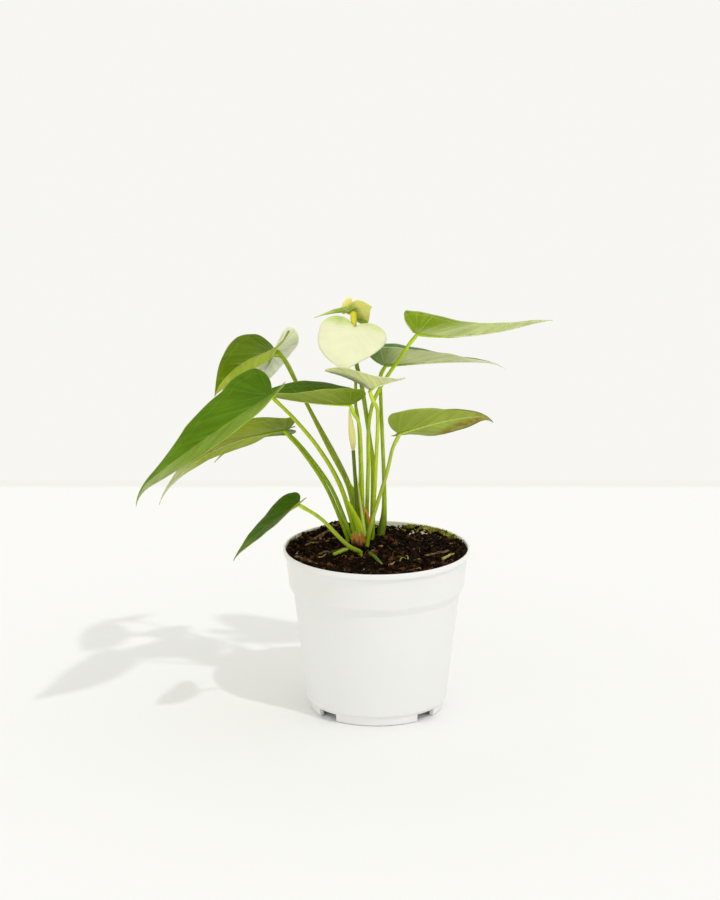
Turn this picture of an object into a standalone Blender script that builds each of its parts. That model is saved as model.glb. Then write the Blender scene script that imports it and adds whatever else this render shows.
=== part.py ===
"""Young flamingo flower growing in a white 12 cm nursery pot.

Everything is drawn around the pot's own axis, with x to the right, y away from the viewer, z up and
the table at z = 0. At the end the plant is moved so that the origin is the middle of the footprint
of the whole thing. Lengths are in millimetres and angles in degrees until a mesh is made.
"""
import math
import random
from dataclasses import dataclass

import bmesh
import bpy
import numpy as np
from mathutils import Vector

MM = 0.001

# Corners closer than this are one corner, in metres
MERGE_DISTANCE = 0.000005

# Gap left between neighbouring pieces
GAP = 0.4

# Pot
POT_LIP_RADIUS = 60.0
POT_HEIGHT = 106.5
POT_COLLAR_TOP_RADIUS = 58.2
POT_COLLAR_LOW_RADIUS = 56.2
POT_COLLAR_LOW_Z = 82.0
POT_BODY_TOP_RADIUS = 53.2
POT_BODY_TOP_Z = 77.0
POT_BODY_LOW_RADIUS = 45.0
POT_FOOT_RADIUS = 42.7
POT_FOOT_INNER_RADIUS = 40.2
POT_LEDGE_Z = 6.8
POT_LIP_LOW_Z = 102.0
POT_WALL = 1.3
POT_FLOOR_TOP = 6.6
POT_FLOOR_BOTTOM = 5.2
POT_SEGMENTS = 60
NOTCH_HEIGHT = 5.0
NOTCH_WIDTH_DEG = 20.5
NOTCH_DIRECTIONS = (42.5, 137.5, 222.5, 317.5)
CUTTER_REACH = 3.0
DRAIN_RADIUS = 3.5
DRAIN_RING_RADIUS = 24.0
DRAIN_SIDES = 16

# Soil
SOIL_LEVEL = 103.4
SOIL_SPOKES = 36
SOIL_RINGS = 9
SOIL_WALL_GAP = 0.5
HOLE_GAP = 0.55
HOLE_BOTTOM = 89.2
HOLE_TOP = 112.0
HOLE_SIDES = 12
STEM_BOTTOM = 92.0

# Leaves
BLADE_THICKNESS = 0.66
BLADE_RINGS = (0.35, 0.65, 0.87, 1.0)
RIB_RADIUS = 1.0
RIB_TIP_RADIUS = 0.42
RIB_SUNK = 0.06
STALK_TOP_RADIUS = 1.15
STALK_FOOT_RADIUS = 1.5
STALK_SIDES = 7
DOME_SHOULDER = 0.7
TIP_START = 0.8
LOBE_SHARE = 0.3

# Half of a heart-shaped blade: distance along the midrib and to the side, as shares of the length
# and of the half width. The negative part is the basal lobe behind the stalk; the first point is
# the notch between the lobes, which each leaf sets back by its own sinus share.
HALF_BLADE = (
    (0.0, 0.0), (-0.17, 0.30), (-0.21, 0.52), (-0.20, 0.72), (-0.14, 0.89), (-0.01, 0.985),
    (0.14, 1.0), (0.30, 0.92), (0.46, 0.73), (0.61, 0.51), (0.75, 0.29), (0.87, 0.12), (1.0, 0.0),
)
# The same for the broad, blunt spathe
HALF_PETAL = (
    (0.0, 0.0), (-0.17, 0.24), (-0.205, 0.50), (-0.155, 0.73), (-0.02, 0.92), (0.16, 1.0),
    (0.36, 0.97), (0.56, 0.84), (0.74, 0.62), (0.88, 0.37), (0.965, 0.17), (1.0, 0.0),
)
MARGIN_STATIONS = (-0.15, 0.2, 0.5, 0.8)


@dataclass
class Leaf:
    """A leaf or a spathe. Pairs hold the left half, then the right half, seen towards the tip."""

    name: str
    junction: tuple
    heading: float
    pitch: float
    length: float
    half_width: tuple
    bend: float = -15.0
    bend_power: float = 1.2
    sweep: float = 0.0
    roll: float = 0.0
    twist: float = 0.0
    tip_droop: float = -20.0
    fold: tuple = (18.0, 18.0)
    fold_change: tuple = (0.0, 0.0)
    curl: tuple = (5.0, 5.0)
    wave: tuple = (0.0, 0.0)
    wave_start: tuple = (0.0, 0.0)
    lobe: tuple = (1.0, 1.0)
    lobe_lift: tuple = (12.0, 12.0)
    taper: tuple = (0.3, 0.3)
    sinus: float = 0.035
    petal: bool = False
    margin: tuple = ((1.0, 1.0, 1.0, 1.0), (1.0, 1.0, 1.0, 1.0))
    stalk: tuple = ()
    foot_radius: float = STALK_FOOT_RADIUS


LEAVES = [
    Leaf(
        name="leaf_front_left",
        junction=(-66.6, -29.1, 214.8),
        heading=219.5, pitch=-21.0, bend=-16.0, bend_power=1.65, sweep=-16.0,
        roll=5.0, twist=-34.0, tip_droop=-50.0,
        length=116.5, half_width=(22.5, 28.0), taper=(0.0, 1.0),
        fold=(23.0, 22.0), fold_change=(-29.0, 1.0), curl=(7.0, 24.0),
        wave=(-10.0, 0.0), wave_start=(0.75, 0.5),
        lobe=(0.35, 0.4), lobe_lift=(47.0, 24.0),
        margin=((0.65, 0.9, 1.0, 1.2), (0.95, 0.85, 1.1, 0.95)),
        stalk=((-12.5, 8.5, 109.0), (-22.5, -7.0, 147.5), (-35.5, -16.0, 174.5), (-51.0, -23.0, 196.5)),
        foot_radius=1.9,
    ),
    Leaf(
        name="leaf_upper_left",
        junction=(-66.5, 21.0, 230.7),
        heading=211.0, pitch=-7.0, bend=-42.0, bend_power=1.45, sweep=19.0,
        roll=13.0, twist=-27.0, tip_droop=-17.0,
        length=54.0, half_width=(20.0, 22.0), taper=(-0.7, 0.25),
        fold=(21.0, 16.0), fold_change=(-24.0, 0.0), curl=(-5.0, 20.0),
        wave=(15.0, 4.0), wave_start=(0.2, 0.05),
        lobe=(0.85, 0.5), lobe_lift=(57.0, -37.0),
        margin=((1.05, 0.95, 1.0, 1.05), (1.05, 1.15, 1.05, 1.1)),
        stalk=((-13.0, 14.0, 109.0), (-18.0, 24.0, 138.5), (-31.5, 27.5, 166.0), (-59.0, 22.5, 224.0)),
    ),
    Leaf(
        name="leaf_behind_left",
        junction=(-67.2, 50.0, 222.1),
        heading=111.0, pitch=-49.0, bend=14.0, bend_power=1.65, sweep=6.0,
        roll=-14.0, twist=7.0, tip_droop=-14.0,
        length=56.5, half_width=(21.5, 21.0), taper=(-0.05, 0.35),
        fold=(25.0, 17.0), fold_change=(2.0, -15.0), curl=(17.0, -10.0),
        wave=(3.0, -7.0), wave_start=(-0.1, 0.0),
        lobe=(1.0, 1.05), lobe_lift=(22.0, 30.0),
        margin=((0.95, 1.05, 0.95, 1.1), (1.05, 1.05, 1.05, 0.9)),
        stalk=((-15.5, 21.0, 109.0), (-17.0, 30.0, 138.0), (-45.5, 42.5, 191.0), (-58.5, 49.0, 217.0)),
    ),
    Leaf(
        name="leaf_low_left",
        junction=(-58.8, 10.0, 181.7),
        heading=184.5, pitch=-7.0, bend=-55.0, bend_power=1.4, sweep=1.0,
        roll=5.0, twist=27.0, tip_droop=-11.0,
        length=98.5, half_width=(30.0, 29.0), taper=(0.15, 0.6),
        fold=(18.0, -6.0), fold_change=(-24.0, -8.0), curl=(26.0, -15.0),
        wave=(-12.0, -6.0), wave_start=(0.05, 0.45),
        lobe=(0.35, 0.35), lobe_lift=(49.0, 32.0),
        margin=((1.0, 1.0, 1.05, 1.05), (0.85, 1.05, 0.95, 0.85)),
        stalk=((-18.5, 12.0, 109.0), (-31.5, 11.0, 141.5), (-46.0, 10.5, 165.0)),
    ),
    Leaf(
        name="leaf_small_left",
        junction=(-56.4, 58.0, 166.1),
        heading=180.5, pitch=0.5, bend=-43.0, bend_power=1.15, sweep=13.0,
        roll=17.0, twist=5.0, tip_droop=-8.0,
        length=54.5, half_width=(16.5, 17.0), taper=(0.4, 0.5),
        fold=(4.0, 4.0), fold_change=(16.0, -13.0), curl=(-23.0, 9.0),
        wave=(-7.0, -19.0), wave_start=(-0.4, 0.35),
        lobe=(0.35, 0.35), lobe_lift=(68.0, 37.0),
        margin=((0.9, 1.05, 0.9, 1.05), (0.9, 0.8, 1.15, 0.75)),
        stalk=((-16.5, 16.5, 109.0), (-29.5, 38.5, 135.0), (-46.5, 51.5, 156.0)),
    ),
    Leaf(
        name="leaf_centre_left",
        junction=(-16.7, -10.0, 203.9),
        heading=178.5, pitch=-1.5, bend=17.0, bend_power=0.85, sweep=6.0,
        roll=16.0, twist=-12.0, tip_droop=-18.0,
        length=63.5, half_width=(23.5, 23.0), taper=(0.1, -0.55),
        fold=(25.0, 29.0), fold_change=(2.0, 9.0), curl=(-2.0, 5.0),
        wave=(4.0, 4.0), wave_start=(-0.25, 0.25),
        lobe=(0.75, 0.6), lobe_lift=(8.0, -5.0),
        margin=((1.0, 0.95, 1.05, 1.1), (0.8, 1.0, 1.0, 1.0)),
        stalk=((-8.5, 13.0, 109.0), (-9.5, 1.5, 152.5), (-11.0, -6.5, 187.5), (-14.5, -8.5, 197.0)),
    ),
    Leaf(
        name="leaf_centre",
        junction=(-4.4, -17.9, 215.1),
        heading=-80.0, pitch=21.5, bend=-3.0, bend_power=1.1, sweep=27.0,
        roll=-12.0, twist=-6.0, tip_droop=3.0,
        length=57.5, half_width=(21.0, 30.5), taper=(0.45, 0.55),
        fold=(31.0, 33.0), fold_change=(-16.0, -16.0), curl=(1.0, -30.0),
        wave=(6.0, -8.0), wave_start=(0.3, 0.05),
        lobe=(1.0, 0.75), lobe_lift=(5.0, 2.0),
        margin=((0.9, 1.1, 0.95, 1.05), (1.05, 1.05, 1.05, 0.95)),
        stalk=((-3.0, 9.5, 109.0), (-1.0, -3.5, 154.0), (0.5, -14.0, 197.5), (-2.5, -16.0, 207.5)),
    ),
    Leaf(
        name="leaf_top_right",
        junction=(25.3, 4.0, 246.3),
        heading=-9.0, pitch=-9.5, bend=30.0, bend_power=0.65, sweep=2.0,
        roll=-12.0, twist=12.0, tip_droop=-14.0,
        length=87.0, half_width=(31.0, 29.5), taper=(-0.2, 0.5),
        fold=(10.0, 38.0), fold_change=(5.0, 3.0), curl=(-27.0, -20.0),
        wave=(-9.0, 6.0), wave_start=(-0.35, -0.05),
        lobe=(0.7, 0.5), lobe_lift=(57.0, 30.0),
        margin=((1.1, 1.0, 0.95, 1.0), (1.0, 1.0, 1.0, 1.0)),
        stalk=((-6.5, 18.0, 109.0), (-5.5, 8.0, 155.5), (-3.0, 4.5, 199.0), (17.0, 4.0, 234.0)),
    ),
    Leaf(
        name="leaf_middle_right",
        junction=(5.3, 35.0, 217.9),
        heading=-1.5, pitch=4.5, bend=-13.0, bend_power=1.75, sweep=8.0,
        roll=-16.0, twist=-5.0, tip_droop=-37.0,
        length=79.5, half_width=(31.5, 29.0), taper=(0.8, 0.3),
        fold=(24.0, 26.0), fold_change=(-2.0, -26.0), curl=(8.0, -5.0),
        wave=(1.0, -1.0), wave_start=(0.05, -0.05),
        lobe=(0.85, 0.85), lobe_lift=(40.0, 49.0),
        margin=((1.05, 0.95, 0.95, 1.1), (0.95, 0.9, 1.0, 0.85)),
        stalk=((2.5, 12.5, 109.0), (5.0, 18.5, 132.5), (2.5, 31.5, 200.5), (2.5, 33.5, 211.0)),
    ),
    Leaf(
        name="leaf_low_right",
        junction=(13.9, -9.0, 184.3),
        heading=5.5, pitch=16.0, bend=-21.0, bend_power=2.2, sweep=-5.0,
        roll=-30.0, twist=-15.0, tip_droop=-50.0,
        length=62.5, half_width=(25.0, 24.5), taper=(-0.05, 0.55),
        fold=(5.0, 32.0), fold_change=(-36.0, -15.0), curl=(17.0, -18.0),
        wave=(1.0, 4.0), wave_start=(-0.15, 0.3),
        lobe=(0.35, 0.35), lobe_lift=(44.0, 3.0),
        margin=((0.9, 1.1, 0.9, 1.05), (0.9, 0.9, 0.8, 1.2)),
        stalk=((-6.0, 2.5, 109.0), (-3.0, -1.0, 124.5), (6.0, -5.0, 156.0), (10.0, -7.5, 174.0)),
    ),
    Leaf(
        name="leaf_lowest",
        junction=(-49.1, -55.6, 151.7),
        heading=197.0, pitch=-28.5, bend=-23.0, bend_power=1.45, sweep=-3.0,
        roll=3.0, twist=-12.0, tip_droop=-12.0,
        length=54.5, half_width=(20.0, 20.5), taper=(-0.1, 0.6),
        fold=(18.0, 8.0), fold_change=(-11.0, -9.0), curl=(0.0, -8.0),
        wave=(6.0, 7.0), wave_start=(-0.1, -0.05),
        lobe=(0.45, 0.4), lobe_lift=(34.0, -9.0),
        margin=((0.85, 1.0, 0.9, 1.05), (0.95, 1.0, 1.0, 1.05)),
        stalk=((-10.0, -8.0, 109.0), (-19.5, -21.5, 115.0), (-35.0, -43.0, 138.0)),
    ),
]

SPATHE = Leaf(
    name="spathe",
    junction=(-14.2, -3.8, 251.7),
    heading=-108.0, pitch=-63.0, bend=22.0, bend_power=0.85, sweep=-4.0,
    roll=-23.0, twist=5.0, tip_droop=-29.0,
    length=28.5, half_width=(22.5, 22.0), taper=(0.7, -0.05),
    fold=(1.0, -9.0), fold_change=(9.0, -13.0), curl=(-21.0, -2.0),
    wave=(8.0, 0.0), wave_start=(0.15, 0.05),
    lobe=(0.8, 1.1), lobe_lift=(-10.0, 11.0),
    margin=((0.95, 1.0, 0.95, 0.95), (1.05, 1.0, 1.05, 1.1)),
    petal=True,
)

UPPER_SPATHE = Leaf(
    name="upper_spathe",
    junction=(-15.0, 3.2, 260.1),
    heading=-1.0, pitch=33.5, bend=-31.0, bend_power=1.05, sweep=-12.0,
    roll=-46.0, twist=-8.0, tip_droop=-10.0,
    length=13.0, half_width=(17.0, 16.5), taper=(-0.35, -0.05),
    fold=(-16.0, -9.0), fold_change=(5.0, 11.0), curl=(30.0, -18.0),
    wave=(1.0, -2.0), wave_start=(0.0, 0.1),
    lobe=(0.75, 0.8), lobe_lift=(18.0, 20.0),
    margin=((0.9, 1.0, 0.95, 1.05), (1.0, 0.8, 1.05, 1.05)),
    sinus=0.12,
)

SLIVER = Leaf(
    name="sliver",
    junction=(-15.4, 3.2, 260.4),
    heading=184.0, pitch=2.0, bend=-20.0, bend_power=1.0, sweep=-4.0,
    roll=8.0, twist=0.0, tip_droop=-6.0,
    length=24.5, half_width=(4.5, 5.5), taper=(0.2, 0.2),
    fold=(16.0, 30.0), curl=(2.0, 2.0), lobe=(0.5, 0.5), lobe_lift=(0.0, 0.0),
    sinus=0.06,
)

FLOWER_STALK = (
    (-3.0, 14.5, 109.0),
    (-2.5, 15.0, 155.0),
    (-4.5, 13.5, 174.0),
    (-9.5, 7.5, 210.5),
    (-13.0, 4.0, 227.0),
    (-14.0, -0.6, 246.0),
    (-15.0, -0.6, 260.0),
)
SPEAR = (
    (-11.0, 19.0, 109.0),
    (-10.5, 22.0, 151.5),
    (-11.5, 19.0, 181.5),
    (-12.5, 17.5, 190.5),
    (-13.5, 16.5, 197.0),
    (-13.5, 12.0, 218.0),
)
STEM_SIDES = 10
FLOWER_STALK_RADIUS = 1.55
SPEAR_RADIUS = 1.35
BUD_STALK = (
    (-8.3, 8.0, 108.8), (-11.9, 1.5, 125.0), (-13.6, -4.0, 150.0), (-15.0, -7.6, 172.6),
)
BUD_STALK_RADIUS = 1.35
BUD = (
    ((-15.2, -7.9, 175.0), 0.9), ((-15.3, -8.0, 178.0), 1.7), ((-15.9, -8.1, 184.0), 2.1),
    ((-16.4, -8.2, 189.0), 1.7), ((-17.1, -8.2, 195.0), 1.0), ((-17.5, -8.2, 199.3), 0.5),
)
SPADIX = (
    ((-21.6, 10.8, 257.0), 1.5), ((-21.0, 10.8, 259.6), 2.3), ((-19.4, 10.8, 263.4), 2.3),
    ((-17.6, 10.8, 266.4), 1.8), ((-16.8, 10.8, 267.9), 1.0),
)
ROOT_STUBS = (
    ("stub_left", ((-27.0, -11.5, 105.1), (-22.0, -6.2, 105.8), (-18.6, -2.6, 105.8)), 1.3),
    ("stub_right", ((-4.6, -10.6, 105.4), (-1.2, -18.6, 105.4), (2.8, -30.6, 104.6)), 1.2),
)
CROWN_SCALE = (
    (-17.6, 5.4, 111.0), (-15.8, 3.6, 114.0), (-13.3, 2.7, 115.8), (-10.8, 2.4, 115.4),
    (-8.8, 2.8, 112.6),
)

SCALE_THICKNESS = 0.8
SCALE_SOIL_GAP = 0.9
STUB_TIP_SHARE = 0.8
KNOB_REACH = 0.8
KNOB_RADIUS = 1.1


# Small tools

def remove_everything():
    for obj in list(bpy.data.objects):
        bpy.data.objects.remove(obj, do_unlink=True)


def material(name, colour, roughness):
    made = bpy.data.materials.new(name)
    made.use_nodes = True
    shader = made.node_tree.nodes["Principled BSDF"]
    shader.inputs["Base Color"].default_value = (*colour, 1.0)
    shader.inputs["Roughness"].default_value = roughness
    shader.inputs["Metallic"].default_value = 0.0
    made.diffuse_color = (*colour, 1.0)
    return made


def body(name, points, faces, surface=None):
    """Object from points in millimetres, with its faces turned outwards."""
    mesh = bpy.data.meshes.new(name)
    mesh.from_pydata([Vector(p) * MM for p in points], [], faces)
    shape = bmesh.new()
    shape.from_mesh(mesh)
    bmesh.ops.recalc_face_normals(shape, faces=shape.faces)
    shape.to_mesh(mesh)
    shape.free()
    mesh.shade_smooth()
    obj = bpy.data.objects.new(name, mesh)
    bpy.context.scene.collection.objects.link(obj)
    if surface is not None:
        mesh.materials.append(surface)
    return obj


def combine(target, others, operation):
    """Join or cut the target with all the others in one Boolean."""
    group = bpy.data.collections.new("operands")
    bpy.context.scene.collection.children.link(group)
    for other in others:
        bpy.context.scene.collection.objects.unlink(other)
        group.objects.link(other)
    step = target.modifiers.new("combine", "BOOLEAN")
    step.operation = operation
    step.operand_type = "COLLECTION"
    step.collection = group
    step.solver = "EXACT"
    graph = bpy.context.evaluated_depsgraph_get()
    result = bpy.data.meshes.new_from_object(target.evaluated_get(graph))
    target.modifiers.clear()
    surfaces = [slot for slot in target.data.materials]
    target.data = result
    result.name = target.name
    result.materials.clear()
    for surface in surfaces:
        result.materials.append(surface)
    for other in others:
        bpy.data.objects.remove(other, do_unlink=True)
    bpy.data.collections.remove(group)
    tidy(target)
    return target


def tidy(obj):
    """Merge touching corners and split everything into triangles."""
    shape = bmesh.new()
    shape.from_mesh(obj.data)
    bmesh.ops.remove_doubles(shape, verts=shape.verts, dist=MERGE_DISTANCE)
    bmesh.ops.triangulate(shape, faces=shape.faces)
    for face in shape.faces:
        face.material_index = 0
        face.smooth = True
    shape.to_mesh(obj.data)
    shape.free()


def smooth_path(points, pieces):
    """Rounded run through the points, cut into so many pieces between each two of them."""
    p = [np.array(q, float) for q in points]
    p = [2 * p[0] - p[1]] + p + [2 * p[-1] - p[-2]]
    run = []
    for a, b, c, d in zip(p, p[1:], p[2:], p[3:]):
        for i in range(pieces):
            t = i / pieces
            run.append(0.5 * (2 * b + (c - a) * t + (2 * a - 5 * b + 4 * c - d) * t ** 2
                              + (3 * b - a - 3 * c + d) * t ** 3))
    run.append(p[-2])
    return run


def tube(name, points, radii, sides, surface=None):
    """Round bar along the points with domed ends."""
    p = [np.array(q, float) for q in points]
    along = [p[min(i + 1, len(p) - 1)] - p[max(i - 1, 0)] for i in range(len(p))]
    along = [t / np.linalg.norm(t) for t in along]
    first, last = radii[0] * DOME_SHOULDER, radii[-1] * DOME_SHOULDER
    stations = [(p[0] - along[0] * first, first, along[0])]
    stations += list(zip(p, radii, along))
    stations += [(p[-1] + along[-1] * last, last, along[-1])]
    side = np.cross(along[0], (0.0, 1.0, 0.2))
    corners = []
    for middle, radius, direction in stations:
        side = side - direction * side.dot(direction)
        side = side / np.linalg.norm(side)
        other = np.cross(direction, side)
        for k in range(sides):
            angle = 2 * math.pi * k / sides
            corners.append(middle + radius * (math.cos(angle) * side + math.sin(angle) * other))
    faces = []
    for i in range(len(stations) - 1):
        for k in range(sides):
            n = (k + 1) % sides
            faces.append((i * sides + k, i * sides + n, (i + 1) * sides + n, (i + 1) * sides + k))
    pole = len(corners)
    corners.append(p[0] - along[0] * radii[0])
    corners.append(p[-1] + along[-1] * radii[-1])
    end = (len(stations) - 1) * sides
    for k in range(sides):
        n = (k + 1) % sides
        faces.append((pole, n, k))
        faces.append((pole + 1, end + k, end + n))
    return body(name, corners, faces, surface)


def turned(name, profile, segments, surface=None):
    """Body of revolution from a closed (radius, height) outline that may touch the axis."""
    corners = []
    rows = []
    for radius, height in profile:
        if radius < 1e-6:
            rows.append([len(corners)] * segments)
            corners.append((0.0, 0.0, height))
            continue
        rows.append(list(range(len(corners), len(corners) + segments)))
        for k in range(segments):
            angle = 2 * math.pi * k / segments
            corners.append((radius * math.cos(angle), radius * math.sin(angle), height))
    faces = []
    for lower, upper in zip(rows, rows[1:] + rows[:1]):
        for k in range(segments):
            n = (k + 1) % segments
            face = list(dict.fromkeys((lower[k], lower[n], upper[n], upper[k])))
            if len(face) > 2:
                faces.append(face)
    return body(name, corners, faces, surface)


# Leaf shape

def rad(angle):
    return np.radians(angle)


def blade_grid(leaf, rings):
    """Flat points of a blade: rings around the junction, each from the left lobe to the right."""
    half = np.array(HALF_PETAL if leaf.petal else HALF_BLADE)
    sides = []
    for k in (0, 1):
        along = np.where(half[:, 0] < 0, half[:, 0] * leaf.lobe[k], half[:, 0]) * leaf.length
        along[0] = -leaf.sinus * leaf.length
        width = leaf.half_width[k] * np.interp(half[:, 0], MARGIN_STATIONS, leaf.margin[k])
        width = width * np.exp(-leaf.taper[k] * np.clip(half[:, 0] - 0.1, 0, None))
        sides.append(np.stack([along, (1 - 2 * k) * half[:, 1] * width], 1))
    edge = np.vstack([sides[0], sides[1][::-1][1:-1]])
    return np.stack([edge * r for r in rings])


def blade_frame(leaf):
    """Midrib points with its direction, its left side and its upper side, from lobes to tip."""
    s = np.linspace(-0.45, 1.02, 148) * leaf.length
    u = s / leaf.length
    ahead = np.clip(u, 0, None)
    pitch = rad(leaf.pitch + leaf.bend * ahead ** leaf.bend_power
                + leaf.tip_droop * np.clip((ahead - TIP_START) / (1 - TIP_START), 0, 1.1) ** 1.5)
    heading = rad(leaf.heading + leaf.sweep * ahead)
    roll = rad(leaf.roll + leaf.twist * ahead)[:, None]
    along = np.stack([np.cos(pitch) * np.cos(heading), np.cos(pitch) * np.sin(heading),
                      np.sin(pitch)], 1)
    steps = (along[1:] + along[:-1]) / 2 * (s[1] - s[0])
    middle = np.vstack([np.zeros(3), np.cumsum(steps, 0)])
    start = [np.interp(0, s, middle[:, k]) for k in range(3)]
    middle = middle - start + np.array(leaf.junction)
    level = np.stack([-np.sin(heading), np.cos(heading), 0 * heading], 1)
    upright = np.cross(along, level)
    left = level * np.cos(roll) + upright * np.sin(roll)
    return s, middle, along, left, np.cross(along, left)


def blade_points(leaf, flat):
    """Lay flat blade points (along, to the left) on the bent, folded and curled leaf."""
    s, middle, along, left, upper = blade_frame(leaf)
    x = flat[..., 0]
    y = flat[..., 1]
    is_left = y >= 0

    def at(rows):
        return np.stack([np.interp(x, s, rows[:, k]) for k in range(3)], -1)

    def pick(pair):
        return np.where(is_left, pair[0], pair[1])

    share = np.clip(x / leaf.length, 0, 1)
    fold = rad(pick(leaf.fold) + pick(leaf.fold_change) * share)
    ripple = np.cos(2 * np.pi * (1.2 * x / leaf.length + pick(leaf.wave_start)))
    curl = rad(pick(leaf.curl) + pick(leaf.wave) * ripple)
    curl = np.where(np.abs(curl) < 1e-3, 1e-3, curl) / pick(leaf.half_width)
    reach = np.abs(y)
    out = (np.sin(fold + curl * reach) - np.sin(fold)) / curl
    rise = (np.cos(fold) - np.cos(fold + curl * reach)) / curl
    behind = np.clip(-x, 0, None)
    lift = rad(pick(leaf.lobe_lift)) * behind / (LOBE_SHARE * leaf.length)
    return (at(middle) + (np.sign(y) * out)[..., None] * at(left)
            + (rise + behind * np.sin(lift))[..., None] * at(upper)
            + (behind * (1 - np.cos(lift)))[..., None] * at(along))


def blade_body(leaf, surface=None):
    """Closed blade: the same triangles on both faces, with an edge all round."""
    grid = blade_points(leaf, blade_grid(leaf, BLADE_RINGS))
    rings, spokes = grid.shape[:2]
    middle = np.vstack([np.array(leaf.junction)[None], grid.reshape(-1, 3)])
    triangles = []
    for k in range(spokes):
        n = (k + 1) % spokes
        triangles.append((0, 1 + k, 1 + n))
        for i in range(rings - 1):
            a = 1 + i * spokes + k
            b = 1 + i * spokes + n
            c = b + spokes
            d = a + spokes
            triangles += [(a, d, c), (a, c, b)]
    tri = np.array(triangles)
    normal = np.cross(middle[tri[:, 1]] - middle[tri[:, 0]], middle[tri[:, 2]] - middle[tri[:, 0]])
    at_points = np.zeros_like(middle)
    for corner in range(3):
        np.add.at(at_points, tri[:, corner], normal)
    at_points /= np.linalg.norm(at_points, axis=1)[:, None]
    count = len(middle)
    half = at_points * BLADE_THICKNESS / 2
    points = np.vstack([middle + half, middle - half])
    faces = triangles + [(a + count, c + count, b + count) for a, b, c in triangles]
    edge = 1 + (rings - 1) * spokes
    for k in range(spokes):
        a = edge + k
        b = edge + (k + 1) % spokes
        faces += [(a, a + count, b + count), (a, b + count, b)]
    return body(leaf.name, points, faces, surface)


def under_blade(leaf, x, radius):
    """Middle of a round bar of this radius lying under the midrib, x away from the junction."""
    s, middle, along, left, upper = blade_frame(leaf)
    at = np.array([np.interp(x, s, middle[:, k]) for k in range(3)])
    upright = np.array([np.interp(x, s, upper[:, k]) for k in range(3)])
    return at - upright * (radius - RIB_SUNK)


def rib_path(leaf):
    """Midrib under the blade, through the same stations as the blade's rings."""
    stations = [0.0] + [r * leaf.length for r in BLADE_RINGS[:-1]]
    radii = np.interp(stations, (0.0, stations[-1]), (RIB_RADIUS, RIB_TIP_RADIUS))
    return [under_blade(leaf, x, radius) for x, radius in zip(stations, radii)], list(radii)


def make_leaf(leaf, surface):
    blade = blade_body(leaf, surface)
    points, radii = rib_path(leaf)
    rib = tube("rib", points, radii, STALK_SIDES)
    top = under_blade(leaf, 0.0, STALK_TOP_RADIUS)
    foot = leaf.stalk[0]
    way = [(foot[0], foot[1], STEM_BOTTOM)] + smooth_path(list(leaf.stalk) + [tuple(top)], 2)
    radii = np.interp([q[2] for q in way], (SOIL_LEVEL, top[2]), (leaf.foot_radius, STALK_TOP_RADIUS))
    stalk = tube("stalk", way, list(radii), STALK_SIDES)
    return combine(blade, [rib, stalk], "UNION")


# Pot and soil

def pot_profile():
    lip, low = POT_LIP_RADIUS, POT_LIP_LOW_Z
    return [
        (0.0, POT_FLOOR_BOTTOM), (POT_FOOT_INNER_RADIUS, POT_FLOOR_BOTTOM),
        (POT_FOOT_INNER_RADIUS, 0.0), (POT_FOOT_RADIUS, 0.0),
        (POT_FOOT_RADIUS + 0.5, POT_LEDGE_Z - 0.8), (POT_BODY_LOW_RADIUS, POT_LEDGE_Z),
        (POT_BODY_TOP_RADIUS, POT_BODY_TOP_Z), (POT_COLLAR_LOW_RADIUS, POT_COLLAR_LOW_Z),
        (POT_COLLAR_TOP_RADIUS, low), (lip - 0.6, low + 0.4), (lip, low + 1.2),
        (lip, POT_HEIGHT - 1.0), (lip - 0.4, POT_HEIGHT - 0.3), (lip - 1.2, POT_HEIGHT),
        (POT_COLLAR_TOP_RADIUS - 0.7, POT_HEIGHT - 0.1),
        (POT_COLLAR_TOP_RADIUS - POT_WALL, POT_HEIGHT - 0.8),
        (POT_COLLAR_LOW_RADIUS - POT_WALL, POT_COLLAR_LOW_Z),
        (POT_BODY_TOP_RADIUS - POT_WALL, POT_BODY_TOP_Z),
        (POT_BODY_LOW_RADIUS - POT_WALL, POT_FLOOR_TOP), (0.0, POT_FLOOR_TOP),
    ]


def sector(name, direction, width, near, far, low, high):
    """Wedge between two radii, used for cutting a notch."""
    corners = []
    for height in (low, high):
        for radius in (near, far):
            for turn in (-0.5, 0.0, 0.5):
                angle = math.radians(direction + turn * width)
                corners.append((radius * math.cos(angle), radius * math.sin(angle), height))
    faces = [(0, 1, 4, 3), (1, 2, 5, 4), (6, 9, 10, 7), (7, 10, 11, 8), (0, 6, 7, 1), (1, 7, 8, 2),
             (3, 4, 10, 9), (4, 5, 11, 10), (0, 3, 9, 6), (2, 8, 11, 5)]
    return body(name, corners, faces)


def make_pot(surface):
    pot = turned("pot", pot_profile(), POT_SEGMENTS, surface)
    near, far = POT_FOOT_INNER_RADIUS - CUTTER_REACH, POT_BODY_LOW_RADIUS + CUTTER_REACH
    cutters = [sector("notch", direction, NOTCH_WIDTH_DEG, near, far, -CUTTER_REACH, NOTCH_HEIGHT)
               for direction in NOTCH_DIRECTIONS]
    places = [(0.0, 0.0)]
    for k in range(4):
        angle = math.radians(45 + 90 * k)
        places.append((DRAIN_RING_RADIUS * math.cos(angle), DRAIN_RING_RADIUS * math.sin(angle)))
    low, high = POT_FLOOR_BOTTOM - CUTTER_REACH, POT_FLOOR_TOP + CUTTER_REACH
    for place in places:
        cutters.append(rod("drain", place, DRAIN_RADIUS, low, high, DRAIN_SIDES))
    return combine(pot, cutters, "DIFFERENCE")


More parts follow.
